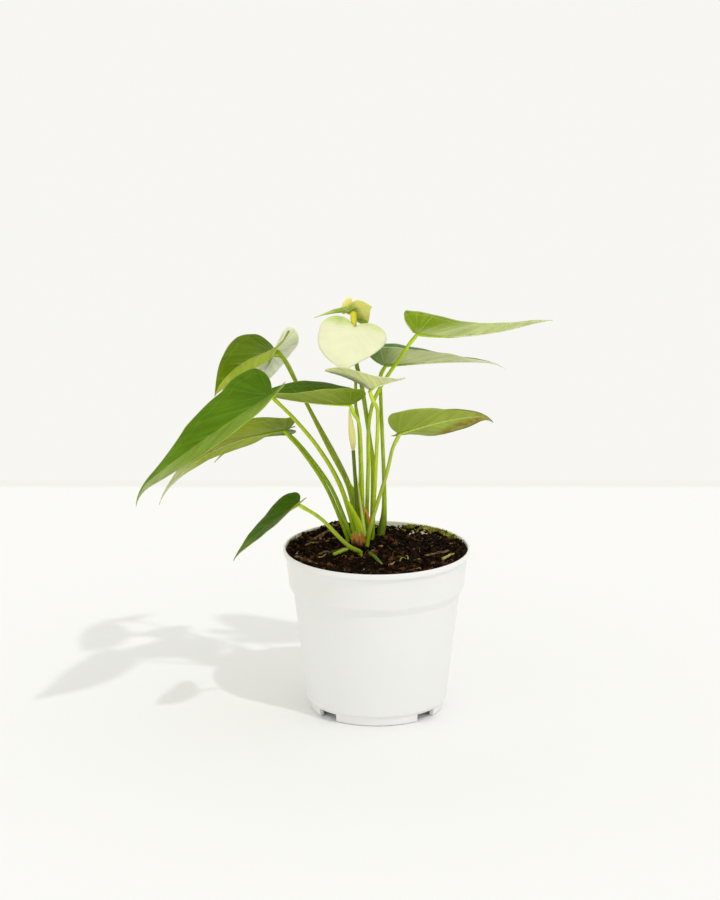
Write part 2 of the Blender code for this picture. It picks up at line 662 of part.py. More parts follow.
def plate(name, run, thickness, surface):
    """Thin upright scale standing over the soil along (x, y, top height) points."""
    points = []
    for i, (x, y, top) in enumerate(run):
        before = run[max(i - 1, 0)]
        after = run[min(i + 1, len(run) - 1)]
        across = np.array((before[1] - after[1], after[0] - before[0]))
        across = across / np.linalg.norm(across) * thickness / 2
        low = soil_height(x, y) + SCALE_SOIL_GAP
        for side in (-1, 1):
            for height in (low, top):
                points.append((x + side * across[0], y + side * across[1], height))
    faces = [(0, 1, 3, 2)]
    for i in range(len(run) - 1):
        a = 4 * i
        for near, far in ((0, 1), (1, 3), (3, 2), (2, 0)):
            faces.append((a + near, a + 4 + near, a + 4 + far))
            faces.append((a + near, a + 4 + far, a + far))
    a = 4 * (len(run) - 1)
    faces.append((a, a + 2, a + 3, a + 1))
    return body(name, points, faces, surface)


def rod(name, centre, radius, low, high, sides):
    """Upright round bar with flat ends."""
    x, y = centre
    corners = []
    for height in (low, high):
        for k in range(sides):
            angle = 2 * math.pi * k / sides
            corners.append((x + radius * math.cos(angle), y + radius * math.sin(angle), height))
    faces = [tuple(range(sides - 1, -1, -1)), tuple(range(sides, 2 * sides))]
    faces += [(k, (k + 1) % sides, sides + (k + 1) % sides, sides + k) for k in range(sides)]
    return body(name, corners, faces)


def wall_inside(height):
    """Inner radius of the pot at a height."""
    heights = (POT_FLOOR_TOP, POT_BODY_TOP_Z, POT_COLLAR_LOW_Z, POT_HEIGHT - 0.8)
    radii = (POT_BODY_LOW_RADIUS, POT_BODY_TOP_RADIUS, POT_COLLAR_LOW_RADIUS, POT_COLLAR_TOP_RADIUS)
    return float(np.interp(height, heights, radii)) - POT_WALL


def soil_height(x, y):
    """Lumpy surface with a low mound around the stems and one at the back on the left."""
    crown = 3.4 * math.exp(-((x + 8) ** 2 + (y - 10) ** 2) / 220.0)
    back = 4.2 * math.exp(-((x + 25) ** 2 + (y - 42) ** 2) / 130.0)
    lumps = 0.0
    for wave in SOIL_WAVES:
        lumps += wave[0] * math.sin(wave[1] * x + wave[2] * y + wave[3])
    return SOIL_LEVEL + crown + back + lumps


def soil_waves():
    chance = random.Random(5)
    waves = []
    for size in (0.35, 0.35, 0.3, 0.25, 0.25):
        turn = chance.uniform(0, 2 * math.pi)
        pace = chance.uniform(0.18, 0.5)
        waves.append((size, pace * math.cos(turn), pace * math.sin(turn), chance.uniform(0, 6.3)))
    return waves


SOIL_WAVES = soil_waves()


def make_soil(holes, surface):
    edge = wall_inside(SOIL_LEVEL) - SOIL_WALL_GAP
    corners = []
    for i in range(1, SOIL_RINGS + 1):
        radius = edge * i / SOIL_RINGS
        for k in range(SOIL_SPOKES):
            angle = 2 * math.pi * k / SOIL_SPOKES
            x = radius * math.cos(angle)
            y = radius * math.sin(angle)
            corners.append((x, y, soil_height(x, y)))
    sides = (POT_COLLAR_LOW_Z, POT_BODY_TOP_Z, POT_FLOOR_TOP + GAP)
    for height in sides:
        for k in range(SOIL_SPOKES):
            angle = 2 * math.pi * k / SOIL_SPOKES
            reach = wall_inside(height) - SOIL_WALL_GAP
            corners.append((reach * math.cos(angle), reach * math.sin(angle), height))
    rows = SOIL_RINGS + len(sides)
    faces = []
    for i in range(rows - 1):
        for k in range(SOIL_SPOKES):
            n = (k + 1) % SOIL_SPOKES
            a, b = i * SOIL_SPOKES + k, i * SOIL_SPOKES + n
            c, d = b + SOIL_SPOKES, a + SOIL_SPOKES
            faces += [(a, d, c), (a, c, b)]
    top = len(corners)
    corners.append((0.0, 0.0, soil_height(0.0, 0.0)))
    corners.append((0.0, 0.0, POT_FLOOR_TOP + GAP))
    last = (rows - 1) * SOIL_SPOKES
    for k in range(SOIL_SPOKES):
        n = (k + 1) % SOIL_SPOKES
        faces += [(top, k, n), (top + 1, last + n, last + k)]
    soil = body("soil", corners, faces, surface)
    cutters = [rod("hole", centre, radius + HOLE_GAP, HOLE_BOTTOM, HOLE_TOP, HOLE_SIDES)
               for centre, radius in holes]
    return combine(soil, cutters, "DIFFERENCE")


def stem(name, points, radius, surface, top_share=0.85):
    """Stalk standing in the soil, thinner towards its top."""
    foot, top = points[0], points[-1]
    way = [(foot[0], foot[1], STEM_BOTTOM)] + smooth_path(points, 2)
    heights = [q[2] for q in way]
    radii = list(np.interp(heights, (SOIL_LEVEL, top[2]), (radius, radius * top_share)))
    return tube(name, way, radii, STEM_SIDES, surface)


def make_upper_spathe(surface):
    """Small green spathe with the narrow sliver that grows from the same knob."""
    hood = blade_body(UPPER_SPATHE, surface)
    middle = np.array(SLIVER.junction)
    reach = np.array((KNOB_REACH, 0.0, 0.0))
    knob = tube("knob", [middle - reach, middle + reach], [KNOB_RADIUS, KNOB_RADIUS], STEM_SIDES)
    return combine(hood, [blade_body(SLIVER), knob], "UNION")


def move_to_footprint(objects):
    """Put the origin in the middle of the footprint of everything together."""
    corners = np.array([v.co[:] for obj in objects for v in obj.data.vertices])
    low = corners.min(0)
    high = corners.max(0)
    shift = Vector((-(low[0] + high[0]) / 2, -(low[1] + high[1]) / 2, -low[2]))
    for obj in objects:
        obj.location = shift


def main():
    remove_everything()
    pot_white = material("pot_white", (0.86, 0.86, 0.85), 0.35)
    soil_brown = material("soil_brown", (0.055, 0.033, 0.02), 0.95)
    leaf_green = material("leaf_green", (0.085, 0.19, 0.02), 0.38)
    stem_green = material("stem_green", (0.33, 0.45, 0.07), 0.42)
    spathe_cream = material("spathe_cream", (0.83, 0.82, 0.6), 0.45)
    spathe_green = material("spathe_green", (0.42, 0.52, 0.16), 0.45)
    spadix_yellow = material("spadix_yellow", (0.55, 0.47, 0.12), 0.55)
    bud_pale = material("bud_pale", (0.62, 0.66, 0.28), 0.45)
    scale_brown = material("scale_brown", (0.3, 0.17, 0.07), 0.8)
    objects = [make_pot(pot_white)]
    holes = [((q.stalk[0][0], q.stalk[0][1]), q.foot_radius) for q in LEAVES]
    for points, radius in ((FLOWER_STALK, FLOWER_STALK_RADIUS), (SPEAR, SPEAR_RADIUS),
                           (BUD_STALK, BUD_STALK_RADIUS)):
        holes.append(((points[0][0], points[0][1]), radius))
    objects.append(make_soil(holes, soil_brown))
    objects += [make_leaf(leaf, leaf_green) for leaf in LEAVES]
    objects.append(stem("flower_stalk", FLOWER_STALK, FLOWER_STALK_RADIUS, stem_green))
    objects.append(stem("young_stem", SPEAR, SPEAR_RADIUS, stem_green, 0.7))
    objects.append(stem("bud_stalk", BUD_STALK, BUD_STALK_RADIUS, stem_green))
    for name, run, surface in (("bud", BUD, bud_pale), ("spadix", SPADIX, spadix_yellow)):
        objects.append(tube(name, [p for p, r in run], [r for p, r in run], STEM_SIDES, surface))
    objects.append(plate("crown_scale", CROWN_SCALE, SCALE_THICKNESS, scale_brown))
    for name, points, radius in ROOT_STUBS:
        radii = [radius, radius, radius * STUB_TIP_SHARE]
        objects.append(tube(name, points, radii, STALK_SIDES, stem_green))
    objects.append(blade_body(SPATHE, spathe_cream))
    objects.append(make_upper_spathe(spathe_green))
    move_to_footprint(objects)


main()
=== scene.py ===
import math
import random
from dataclasses import dataclass

import bmesh
import bpy
import numpy as np
from mathutils import Matrix, Vector, noise


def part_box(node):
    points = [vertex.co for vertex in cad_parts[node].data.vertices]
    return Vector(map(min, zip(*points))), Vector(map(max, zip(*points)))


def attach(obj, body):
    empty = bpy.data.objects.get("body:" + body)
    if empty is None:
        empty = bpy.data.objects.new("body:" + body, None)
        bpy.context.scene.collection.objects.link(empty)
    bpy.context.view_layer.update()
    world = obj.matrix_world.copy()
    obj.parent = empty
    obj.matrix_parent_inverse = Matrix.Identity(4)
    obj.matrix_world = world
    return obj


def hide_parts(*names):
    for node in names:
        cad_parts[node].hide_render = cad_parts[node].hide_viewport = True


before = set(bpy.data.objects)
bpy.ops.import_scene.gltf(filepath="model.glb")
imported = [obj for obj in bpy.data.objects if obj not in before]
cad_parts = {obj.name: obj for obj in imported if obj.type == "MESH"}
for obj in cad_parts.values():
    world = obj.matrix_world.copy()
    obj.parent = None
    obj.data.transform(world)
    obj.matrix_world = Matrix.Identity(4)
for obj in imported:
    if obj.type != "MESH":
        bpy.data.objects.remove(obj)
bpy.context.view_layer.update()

# Young flamingo flower in a white nursery pot, dressed over its solids. Shapes are drawn in
# millimetres around the pot's own axis, x to the right, y away from the viewer and z up, and
# placed on the frame where the solid pot stands. Angles are in degrees unless said.

MM = 0.001
TINY = 1e-9
pot_low, pot_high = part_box("pot")
POT_AXIS = Vector(((pot_low[0] + pot_high[0]) / 2, (pot_low[1] + pot_high[1]) / 2, pot_low[2]))

# Pot
LIP_RADIUS = 60.0
POT_HEIGHT = 106.5
COLLAR_TOP_RADIUS = 58.2
COLLAR_LOW_RADIUS = 56.2
COLLAR_LOW_Z = 82.0
BODY_TOP_RADIUS = 53.2
BODY_TOP_Z = 77.0
BODY_LOW_RADIUS = 45.0
FOOT_RADIUS = 42.7
FOOT_INNER_RADIUS = 40.2
LEDGE_Z = 6.8
WALL = 1.3
LIP_LOW_Z = 102.3
LIP_INNER_RADIUS = 58.4
FLOOR_TOP = 6.6
FLOOR_BOTTOM = 5.2
POT_SEGMENTS = 160
CORNER_RADIUS = 1.1
CREASE_ANGLE = 38.0
NOTCH_HEIGHT = 5.0
NOTCH_WIDTH = 20.5
NOTCH_STEPS = 7
NOTCH_DIRECTIONS = (42.5, 137.5, 222.5, 317.5)
DRAIN_RADIUS = 3.5
DRAIN_SIDES = 32
DRAIN_RING_RADIUS = 24.0
CUTTER_REACH = 3.0

# Soil
SOIL_LEVEL = 103.4
SOIL_REACH = 58.2
SOIL_GAP = 0.4
SOIL_RINGS = 52
SOIL_SPOKES = 144
# Height of the soil's lumps and of its finer roughness, and how close they are
SOIL_LUMPS = 1.5
SOIL_LUMP_SCALE = 0.09
SOIL_ROUGH = 0.5
SOIL_ROUGH_SCALE = 0.55
# Rise of the soil towards the wall, where it starts and how wide it is
RIM_RISE = 1.1
RIM_START = 40.0
RIM_WIDTH = 16.0
# How far from the wall loose pieces stay: those all over, those in heaps and strands
LOOSE_GAP = 1.8
HEAP_GAP = 1.5
STRAND_GAP = 1.0
# Rise, place and spread of the mounds at the crown, at the back left and right of the crown,
# and of the dip at the back wall
SOIL_MOUNDS = (
    (3.4, -8.0, 10.0, 220.0), (4.2, -25.0, 42.0, 130.0), (4.5, 4.0, 9.0, 36.0),
    (-1.6, 12.0, 58.0, 260.0),
)
LUMP_SUNK = 0.4
LUMP_TILT = 0.6
STRAND_STEPS = 9
STRAND_LIFT = 0.4
# Start, end and half width of each flat piece of bark
BARK_PLANKS = (
    ((-42.4, 21.9), (-21.8, 46.1), 2.3), ((-52.0, -12.0), (-38.0, -31.0), 1.9),
    ((-37.0, -8.0), (-20.0, 0.0), 1.5), ((-46.0, 10.0), (-25.0, 24.0), 1.3),
    ((30.0, -14.0), (46.0, -2.0), 1.6),
)
PLANK_STEPS = 16
PLANK_LIFT = 0.9
PLANK_SECTION = ((-1, 0.0), (-0.6, 0.6), (0.3, 0.8), (1, 0.1), (0.3, -0.4), (-0.6, -0.5))
# Start, direction, length, bend, lift and radius of each yellow strand, angles in radians
LITTER = (
    (42.0, -22.8, 0.86, 17.0, 0.25, 0.3, 1.1), (7.6, -29.2, 0.3, 6.0, 0.6, 0.6, 0.6),
    (14.7, -22.8, 1.2, 5.0, -0.5, 1.0, 0.5), (19.8, -18.5, 1.5, 5.5, 0.4, 1.6, 0.35),
    (-9.5, -46.0, 0.6, 6.0, 0.8, 0.8, 0.4), (-38.0, -14.0, 0.2, 7.0, 0.4, 0.4, 0.5),
)

# Leaves
LEAF_THICKNESS = 0.42
LEAF_COLUMNS = 60
LEAF_ROWS = 11
VEIN_COUNT = 9
VEIN_SWEEP = 0.55
VEIN_BOW = 0.05
# Relief of a blade between its veins, at its waved edge and along its margin's vein
LEAF_QUILT = 0.16
PETAL_QUILT = 0.04
LEAF_RIPPLE = 0.0028
GROOVE_DEPTH = 0.14
GROOVE_ROW = 0.84
GROOVE_WIDTH = 0.05
ROW_POWER = 0.92
RIB_RADIUS = 0.85
RIB_TIP_RADIUS = 0.2
RIB_SUNK = 0.12

# Stems, sheaths, flower and bud
STALK_TOP_RADIUS = 1.15
STALK_FOOT_RADIUS = 1.5
FOOT_SHARE = 0.93
STEM_BOTTOM = 92.0
STEM_STEP = 4.0
# Swelling under a blade: its share, and its place and width below the top
KNUCKLE = 0.22
KNUCKLE_PLACE = 4.0
KNUCKLE_WIDTH = 3.6
SHEATH_FADE = 8.0
# Lean to the left from which the painted shaded side of a stalk is half a turn round
FAR_LEAN = 15.0
# Rings of a stem's domed end, from the pole outwards
DOME_TURNS = (75, 50, 25)
FLOWER_STALK_RADIUS = 1.55
YOUNG_STEM_RADIUS = 1.35
BUD_STALK_RADIUS = 1.35
BUD_SIDES = 36
BUD_EDGE = 0.26
# Columns that the edge of the roll moves from row to row
BUD_ROLL = 0.16
SPADIX_SIDES = 44
FLORET_RELIEF = 0.16
# How many spirals of florets run round, and their turn from row to row
FLORET_SPIRALS = ((9, 0.17), (6, -0.19))
SPATHE_THICKNESS = 0.6
HOOD_THICKNESS = 0.5
SHEATH_COLUMNS = 8
SHEATH_THICKNESS = 0.3
SHEATH_CUP = 0.7
SCALE_LEVELS = 8
SCALE_THICKNESS = 0.45

# Half of a heart-shaped blade: distance along the midrib and to the side, as shares of the length
# and of the half width. The first point is the notch, which each leaf sets back by its own share.
HALF_BLADE = (
    (0.0, 0.0), (-0.09, 0.13), (-0.165, 0.30), (-0.21, 0.50), (-0.205, 0.70), (-0.15, 0.87),
    (-0.02, 0.98), (0.13, 1.0), (0.29, 0.92), (0.46, 0.73), (0.61, 0.51), (0.75, 0.29),
    (0.86, 0.13), (0.94, 0.04), (1.0, 0.0),
)
# The same for the broad, blunt spathe
HALF_PETAL = (
    (0.0, 0.0), (-0.10, 0.11), (-0.18, 0.28), (-0.205, 0.50), (-0.155, 0.73), (-0.02, 0.92),
    (0.16, 1.0), (0.36, 0.97), (0.56, 0.84), (0.74, 0.62), (0.88, 0.37), (0.965, 0.17), (1.0, 0.0),
)
MARGIN_STATIONS = (-0.15, 0.2, 0.5, 0.8)

# Room
FLOOR_SIDE = 6000.0
FLOOR_FAR_EDGE = 527.0
FLOOR_LEVEL = -0.15
SUN_PLACE = (455.0, -545.0, 1000.0)
SUN_STRENGTH = 0.66
SUN_WIDTH = 2.0
CAMERA_PLACE = (-10.73, -2207.09, 783.08)
CAMERA_DIP = 15.5
CAMERA_FAR_END = 50.0
SENSOR_HEIGHT = 36.0
LENS = 144.0


@dataclass
class Leaf:
    """A leaf or a spathe. Pairs hold the left half, then the right half, seen towards the tip.

    Heading, pitch and roll hold at the junction with the stalk; sweep, bend and twist are added
    to them towards the tip, and tip droop over the last fifth. Fold raises a half from the midrib
    and curl rounds it, with a wave along it. Lobe is the length of a lobe and lobe lift its rise.
    Margin widens a half at the margin stations and taper narrows it towards the tip.
    """

    name: str
    junction: tuple
    heading: float
    pitch: float
    length: float
    half_width: tuple
    bend: float = -15.0
    bend_power: float = 1.2
    sweep: float = 0.0
    roll: float = 0.0
    twist: float = 0.0
    tip_droop: float = -20.0
    fold: tuple = (18.0, 18.0)
    fold_change: tuple = (0.0, 0.0)
    curl: tuple = (5.0, 5.0)
    wave: tuple = (0.0, 0.0)
    wave_start: tuple = (0.0, 0.0)
    lobe: tuple = (1.0, 1.0)
    lobe_lift: tuple = (12.0, 12.0)
    taper: tuple = (0.3, 0.3)
    sinus: float = 0.035
    petal: bool = False
    margin: tuple = ((1.0, 1.0, 1.0, 1.0), (1.0, 1.0, 1.0, 1.0))
    stalk: tuple = ()
    foot_radius: float = STALK_FOOT_RADIUS


LEAVES = [
    Leaf(
        name="leaf_front_left",
        junction=(-66.6, -29.1, 214.8),
        heading=219.5, pitch=-21.0, bend=-16.0, bend_power=1.65, sweep=-16.0,
        roll=5.0, twist=-34.0, tip_droop=-50.0,
        length=116.5, half_width=(22.5, 28.0), taper=(0.0, 1.0),
        fold=(23.0, 22.0), fold_change=(-29.0, 1.0), curl=(7.0, 24.0),
        wave=(-10.0, 0.0), wave_start=(0.75, 0.5),
        lobe=(0.35, 0.4), lobe_lift=(47.0, 24.0),
        margin=((0.65, 0.9, 1.0, 1.2), (0.95, 0.85, 1.1, 0.95)),
        stalk=((-12.5, 8.5, 109.0), (-22.5, -7.0, 147.5), (-35.5, -16.0, 174.5), (-51.0, -23.0, 196.5)),
        foot_radius=1.9,
    ),
    Leaf(
        name="leaf_upper_left",
        junction=(-66.5, 21.0, 230.7),
        heading=211.0, pitch=-7.0, bend=-42.0, bend_power=1.45, sweep=19.0,
        roll=13.0, twist=-27.0, tip_droop=-17.0,
        length=54.0, half_width=(20.0, 22.0), taper=(-0.7, 0.25),
        fold=(21.0, 16.0), fold_change=(-24.0, 0.0), curl=(-5.0, 20.0),
        wave=(15.0, 4.0), wave_start=(0.2, 0.05),
        lobe=(0.85, 0.5), lobe_lift=(57.0, -37.0),
        margin=((1.05, 0.95, 1.0, 1.05), (1.05, 1.15, 1.05, 1.1)),
        stalk=((-13.0, 14.0, 109.0), (-18.0, 24.0, 138.5), (-31.5, 27.5, 166.0), (-59.0, 22.5, 224.0)),
    ),
    Leaf(
        name="leaf_behind_left",
        junction=(-67.2, 50.0, 222.1),
        heading=111.0, pitch=-49.0, bend=14.0, bend_power=1.65, sweep=6.0,
        roll=-14.0, twist=7.0, tip_droop=-14.0,
        length=56.5, half_width=(21.5, 21.0), taper=(-0.05, 0.35),
        fold=(25.0, 17.0), fold_change=(2.0, -15.0), curl=(17.0, -10.0),
        wave=(3.0, -7.0), wave_start=(-0.1, 0.0),
        lobe=(1.0, 1.05), lobe_lift=(22.0, 30.0),
        margin=((0.95, 1.05, 0.95, 1.1), (1.05, 1.05, 1.05, 0.9)),
        stalk=((-15.5, 21.0, 109.0), (-17.0, 30.0, 138.0), (-45.5, 42.5, 191.0), (-58.5, 49.0, 217.0)),
    ),
    Leaf(
        name="leaf_low_left",
        junction=(-58.8, 10.0, 181.7),
        heading=184.5, pitch=-7.0, bend=-55.0, bend_power=1.4, sweep=1.0,
        roll=5.0, twist=27.0, tip_droop=-11.0,
        length=98.5, half_width=(30.0, 29.0), taper=(0.15, 0.6),
        fold=(18.0, -6.0), fold_change=(-24.0, -8.0), curl=(26.0, -15.0),
        wave=(-12.0, -6.0), wave_start=(0.05, 0.45),
        lobe=(0.35, 0.35), lobe_lift=(49.0, 32.0),
        margin=((1.0, 1.0, 1.05, 1.05), (0.85, 1.05, 0.95, 0.85)),
        stalk=((-18.5, 12.0, 109.0), (-31.5, 11.0, 141.5), (-46.0, 10.5, 165.0)),
    ),
    Leaf(
        name="leaf_small_left",
        junction=(-56.4, 58.0, 166.1),
        heading=180.5, pitch=0.5, bend=-43.0, bend_power=1.15, sweep=13.0,
        roll=17.0, twist=5.0, tip_droop=-8.0,
        length=54.5, half_width=(16.5, 17.0), taper=(0.4, 0.5),
        fold=(4.0, 4.0), fold_change=(16.0, -13.0), curl=(-23.0, 9.0),
        wave=(-7.0, -19.0), wave_start=(-0.4, 0.35),
        lobe=(0.35, 0.35), lobe_lift=(68.0, 37.0),
        margin=((0.9, 1.05, 0.9, 1.05), (0.9, 0.8, 1.15, 0.75)),
        stalk=((-16.5, 16.5, 109.0), (-29.5, 38.5, 135.0), (-46.5, 51.5, 156.0)),
    ),
    Leaf(
        name="leaf_centre_left",
        junction=(-16.7, -10.0, 203.9),
        heading=178.5, pitch=-1.5, bend=17.0, bend_power=0.85, sweep=6.0,
        roll=16.0, twist=-12.0, tip_droop=-18.0,
        length=63.5, half_width=(23.5, 23.0), taper=(0.1, -0.55),
        fold=(25.0, 29.0), fold_change=(2.0, 9.0), curl=(-2.0, 5.0),
        wave=(4.0, 4.0), wave_start=(-0.25, 0.25),
        lobe=(0.75, 0.6), lobe_lift=(8.0, -5.0),
        margin=((1.0, 0.95, 1.05, 1.1), (0.8, 1.0, 1.0, 1.0)),
        stalk=((-8.5, 13.0, 109.0), (-9.5, 1.5, 152.5), (-11.0, -6.5, 187.5), (-14.5, -8.5, 197.0)),
    ),
    Leaf(
        name="leaf_centre",
        junction=(-4.4, -17.9, 215.1),
        heading=-80.0, pitch=21.5, bend=-3.0, bend_power=1.1, sweep=27.0,
        roll=-12.0, twist=-6.0, tip_droop=3.0,
        length=57.5, half_width=(21.0, 30.5), taper=(0.45, 0.55),
        fold=(31.0, 33.0), fold_change=(-16.0, -16.0), curl=(1.0, -30.0),
        wave=(6.0, -8.0), wave_start=(0.3, 0.05),
        lobe=(1.0, 0.75), lobe_lift=(5.0, 2.0),
        margin=((0.9, 1.1, 0.95, 1.05), (1.05, 1.05, 1.05, 0.95)),
        stalk=((-3.0, 9.5, 109.0), (-1.0, -3.5, 154.0), (0.5, -14.0, 197.5), (-2.5, -16.0, 207.5)),
    ),
    Leaf(
        name="leaf_top_right",
        junction=(25.3, 4.0, 246.3),
        heading=-9.0, pitch=-9.5, bend=30.0, bend_power=0.65, sweep=2.0,
        roll=-12.0, twist=12.0, tip_droop=-14.0,
        length=87.0, half_width=(31.0, 29.5), taper=(-0.2, 0.5),
        fold=(10.0, 38.0), fold_change=(5.0, 3.0), curl=(-27.0, -20.0),
        wave=(-9.0, 6.0), wave_start=(-0.35, -0.05),
        lobe=(0.7, 0.5), lobe_lift=(57.0, 30.0),
        margin=((1.1, 1.0, 0.95, 1.0), (1.0, 1.0, 1.0, 1.0)),
        stalk=((-6.5, 18.0, 109.0), (-5.5, 8.0, 155.5), (-3.0, 4.5, 199.0), (17.0, 4.0, 234.0)),
    ),
    Leaf(
        name="leaf_middle_right",
        junction=(5.3, 35.0, 217.9),
        heading=-1.5, pitch=4.5, bend=-13.0, bend_power=1.75, sweep=8.0,
        roll=-16.0, twist=-5.0, tip_droop=-37.0,
        length=79.5, half_width=(31.5, 29.0), taper=(0.8, 0.3),
        fold=(24.0, 26.0), fold_change=(-2.0, -26.0), curl=(8.0, -5.0),
        wave=(1.0, -1.0), wave_start=(0.05, -0.05),
        lobe=(0.85, 0.85), lobe_lift=(40.0, 49.0),
        margin=((1.05, 0.95, 0.95, 1.1), (0.95, 0.9, 1.0, 0.85)),
        stalk=((2.5, 12.5, 109.0), (5.0, 18.5, 132.5), (2.5, 31.5, 200.5), (2.5, 33.5, 211.0)),
    ),
    Leaf(
        name="leaf_low_right",
        junction=(13.9, -9.0, 184.3),
        heading=5.5, pitch=16.0, bend=-21.0, bend_power=2.2, sweep=-5.0,
        roll=-30.0, twist=-15.0, tip_droop=-50.0,
        length=62.5, half_width=(25.0, 24.5), taper=(-0.05, 0.55),
        fold=(5.0, 32.0), fold_change=(-36.0, -15.0), curl=(17.0, -18.0),
        wave=(1.0, 4.0), wave_start=(-0.15, 0.3),
        lobe=(0.35, 0.35), lobe_lift=(44.0, 3.0),
        margin=((0.9, 1.1, 0.9, 1.05), (0.9, 0.9, 0.8, 1.2)),
        stalk=((-6.0, 2.5, 109.0), (-3.0, -1.0, 124.5), (6.0, -5.0, 156.0), (10.0, -7.5, 174.0)),
    ),
    Leaf(
        name="leaf_lowest",
        junction=(-49.1, -55.6, 151.7),
        heading=197.0, pitch=-28.5, bend=-23.0, bend_power=1.45, sweep=-3.0,
        roll=3.0, twist=-12.0, tip_droop=-12.0,
        length=54.5, half_width=(20.0, 20.5), taper=(-0.1, 0.6),
        fold=(18.0, 8.0), fold_change=(-11.0, -9.0), curl=(0.0, -8.0),
        wave=(6.0, 7.0), wave_start=(-0.1, -0.05),
        lobe=(0.45, 0.4), lobe_lift=(34.0, -9.0),
        margin=((0.85, 1.0, 0.9, 1.05), (0.95, 1.0, 1.0, 1.05)),
        stalk=((-10.0, -8.0, 109.0), (-19.5, -21.5, 115.0), (-35.0, -43.0, 138.0)),
    ),
]

SPATHE = Leaf(
    name="spathe",
    junction=(-14.2, -3.8, 251.7),
    heading=-108.0, pitch=-63.0, bend=22.0, bend_power=0.85, sweep=-4.0,
    roll=-23.0, twist=5.0, tip_droop=-29.0,
    length=28.5, half_width=(22.5, 22.0), taper=(0.7, -0.05),
    fold=(1.0, -9.0), fold_change=(9.0, -13.0), curl=(-21.0, -2.0),
    wave=(8.0, 0.0), wave_start=(0.15, 0.05),
    lobe=(0.8, 1.1), lobe_lift=(-10.0, 11.0),
    margin=((0.95, 1.0, 0.95, 0.95), (1.05, 1.0, 1.05, 1.1)),
    petal=True,
)

UPPER_SPATHE = Leaf(
    name="upper_spathe",
    junction=(-15.0, 3.2, 260.1),
    heading=-1.0, pitch=33.5, bend=-31.0, bend_power=1.05, sweep=-12.0,
    roll=-46.0, twist=-8.0, tip_droop=-10.0,
    length=13.0, half_width=(17.0, 16.5), taper=(-0.35, -0.05),
    fold=(-16.0, -9.0), fold_change=(5.0, 11.0), curl=(30.0, -18.0),
    wave=(1.0, -2.0), wave_start=(0.0, 0.1),
    lobe=(0.75, 0.8), lobe_lift=(18.0, 20.0),
    margin=((0.9, 1.0, 0.95, 1.05), (1.0, 0.8, 1.05, 1.05)),
    sinus=0.12,
)

SLIVER = Leaf(
    name="sliver",
    junction=(-15.4, 3.2, 260.4),
    heading=184.0, pitch=2.0, bend=-20.0, bend_power=1.0, sweep=-4.0,
    roll=8.0, twist=0.0, tip_droop=-6.0,
    length=24.5, half_width=(4.5, 5.5), taper=(0.2, 0.2),
    fold=(16.0, 30.0), curl=(2.0, 2.0), lobe=(0.5, 0.5), lobe_lift=(0.0, 0.0),
    sinus=0.06,
)

FLOWER_STALK = (
    (-3.0, 14.5, 109.0),
    (-2.5, 15.0, 155.0),
    (-4.5, 13.5, 174.0),
    (-9.5, 7.5, 210.5),
    (-13.0, 4.0, 227.0),
    (-14.0, -0.6, 246.0),
    (-15.0, -0.6, 260.0),
)
YOUNG_STEM = (
    (-11.0, 19.0, 109.0),
    (-10.5, 22.0, 151.5),
    (-11.5, 19.0, 181.5),
    (-12.5, 17.5, 190.5),
    (-13.5, 16.5, 197.0),
    (-13.5, 12.0, 218.0),
)
BUD_STALK = (
    (-8.3, 8.0, 108.8), (-11.9, 1.5, 125.0), (-13.6, -4.0, 150.0), (-15.0, -7.6, 172.6),
)
# Places along the middle with the radius there
BUD = (
    ((-15.1, -7.8, 173.4), 1.0), ((-15.2, -7.9, 175.6), 1.5), ((-15.4, -8.0, 179.0), 1.95),
    ((-15.9, -8.1, 184.0), 2.1), ((-16.4, -8.2, 189.0), 1.7), ((-17.1, -8.2, 195.0), 1.0),
    ((-17.5, -8.2, 199.3), 0.4),
)
SPADIX = (
    ((-21.0, 10.8, 258.8), 1.6), ((-20.6, 10.8, 260.0), 2.3), ((-19.8, 10.8, 262.2), 2.55),
    ((-18.6, 10.8, 264.6), 2.35), ((-17.6, 10.8, 266.2), 1.9), ((-17.0, 10.8, 267.0), 1.3),
)
SPADIX_JOINT = ((-15.2, 0.6, 259.4), (-17.6, 4.8, 259.3), (-20.4, 9.6, 259.9))
ROOT_STUBS = (
    ("stub_left", ((-27.0, -11.5, 105.1), (-22.0, -6.2, 105.8), (-18.6, -2.6, 105.8)), 1.3),
    ("stub_right", ((-4.6, -10.6, 105.4), (-1.2, -18.6, 105.4), (2.8, -30.6, 104.6)), 1.2),
)
CROWN_SCALE = (
    (-16.2, 4.6, 112.6), (-14.6, 2.6, 115.6), (-12.4, 1.2, 116.4), (-9.8, 1.0, 117.2),
    (-7.2, 2.0, 115.4),
)
# Thin sheaths that stand between the stems: path from the soil to the point, with half widths
SHEATHS = {
    "sheath_pointed": (
        (-12.4, 4.4, 130.0, 1.7), (-12.9, 4.2, 136.5, 1.6), (-14.6, 4.0, 142.6, 1.2),
        (-17.0, 4.0, 147.0, 0.7), (-19.7, 4.0, 151.5, 0.12)),
    "sheath_pale": (
        (-7.6, 1.2, 113.0, 0.9), (-8.2, 1.0, 118.9, 1.0), (-9.8, 0.2, 130.3, 0.85),
        (-11.6, -1.2, 143.6, 0.6), (-12.9, -2.6, 155.6, 0.12)),
    "sheath_dry": (
        (-4.6, 0.2, 119.0, 0.3), (-4.8, 0.2, 122.5, 0.7), (-5.4, 0.2, 126.3, 0.7),
        (-6.8, 0.2, 130.4, 0.5), (-8.8, 0.2, 134.6, 0.12)),
    "sheath_broad": (
        (-9.0, 2.4, 108.0, 3.9), (-9.6, 1.6, 114.0, 3.6), (-11.2, 0.4, 120.0, 2.9),
        (-13.8, -1.4, 126.5, 2.2), (-16.8, -3.8, 134.0, 1.5), (-19.6, -6.2, 140.5, 0.6)),
}
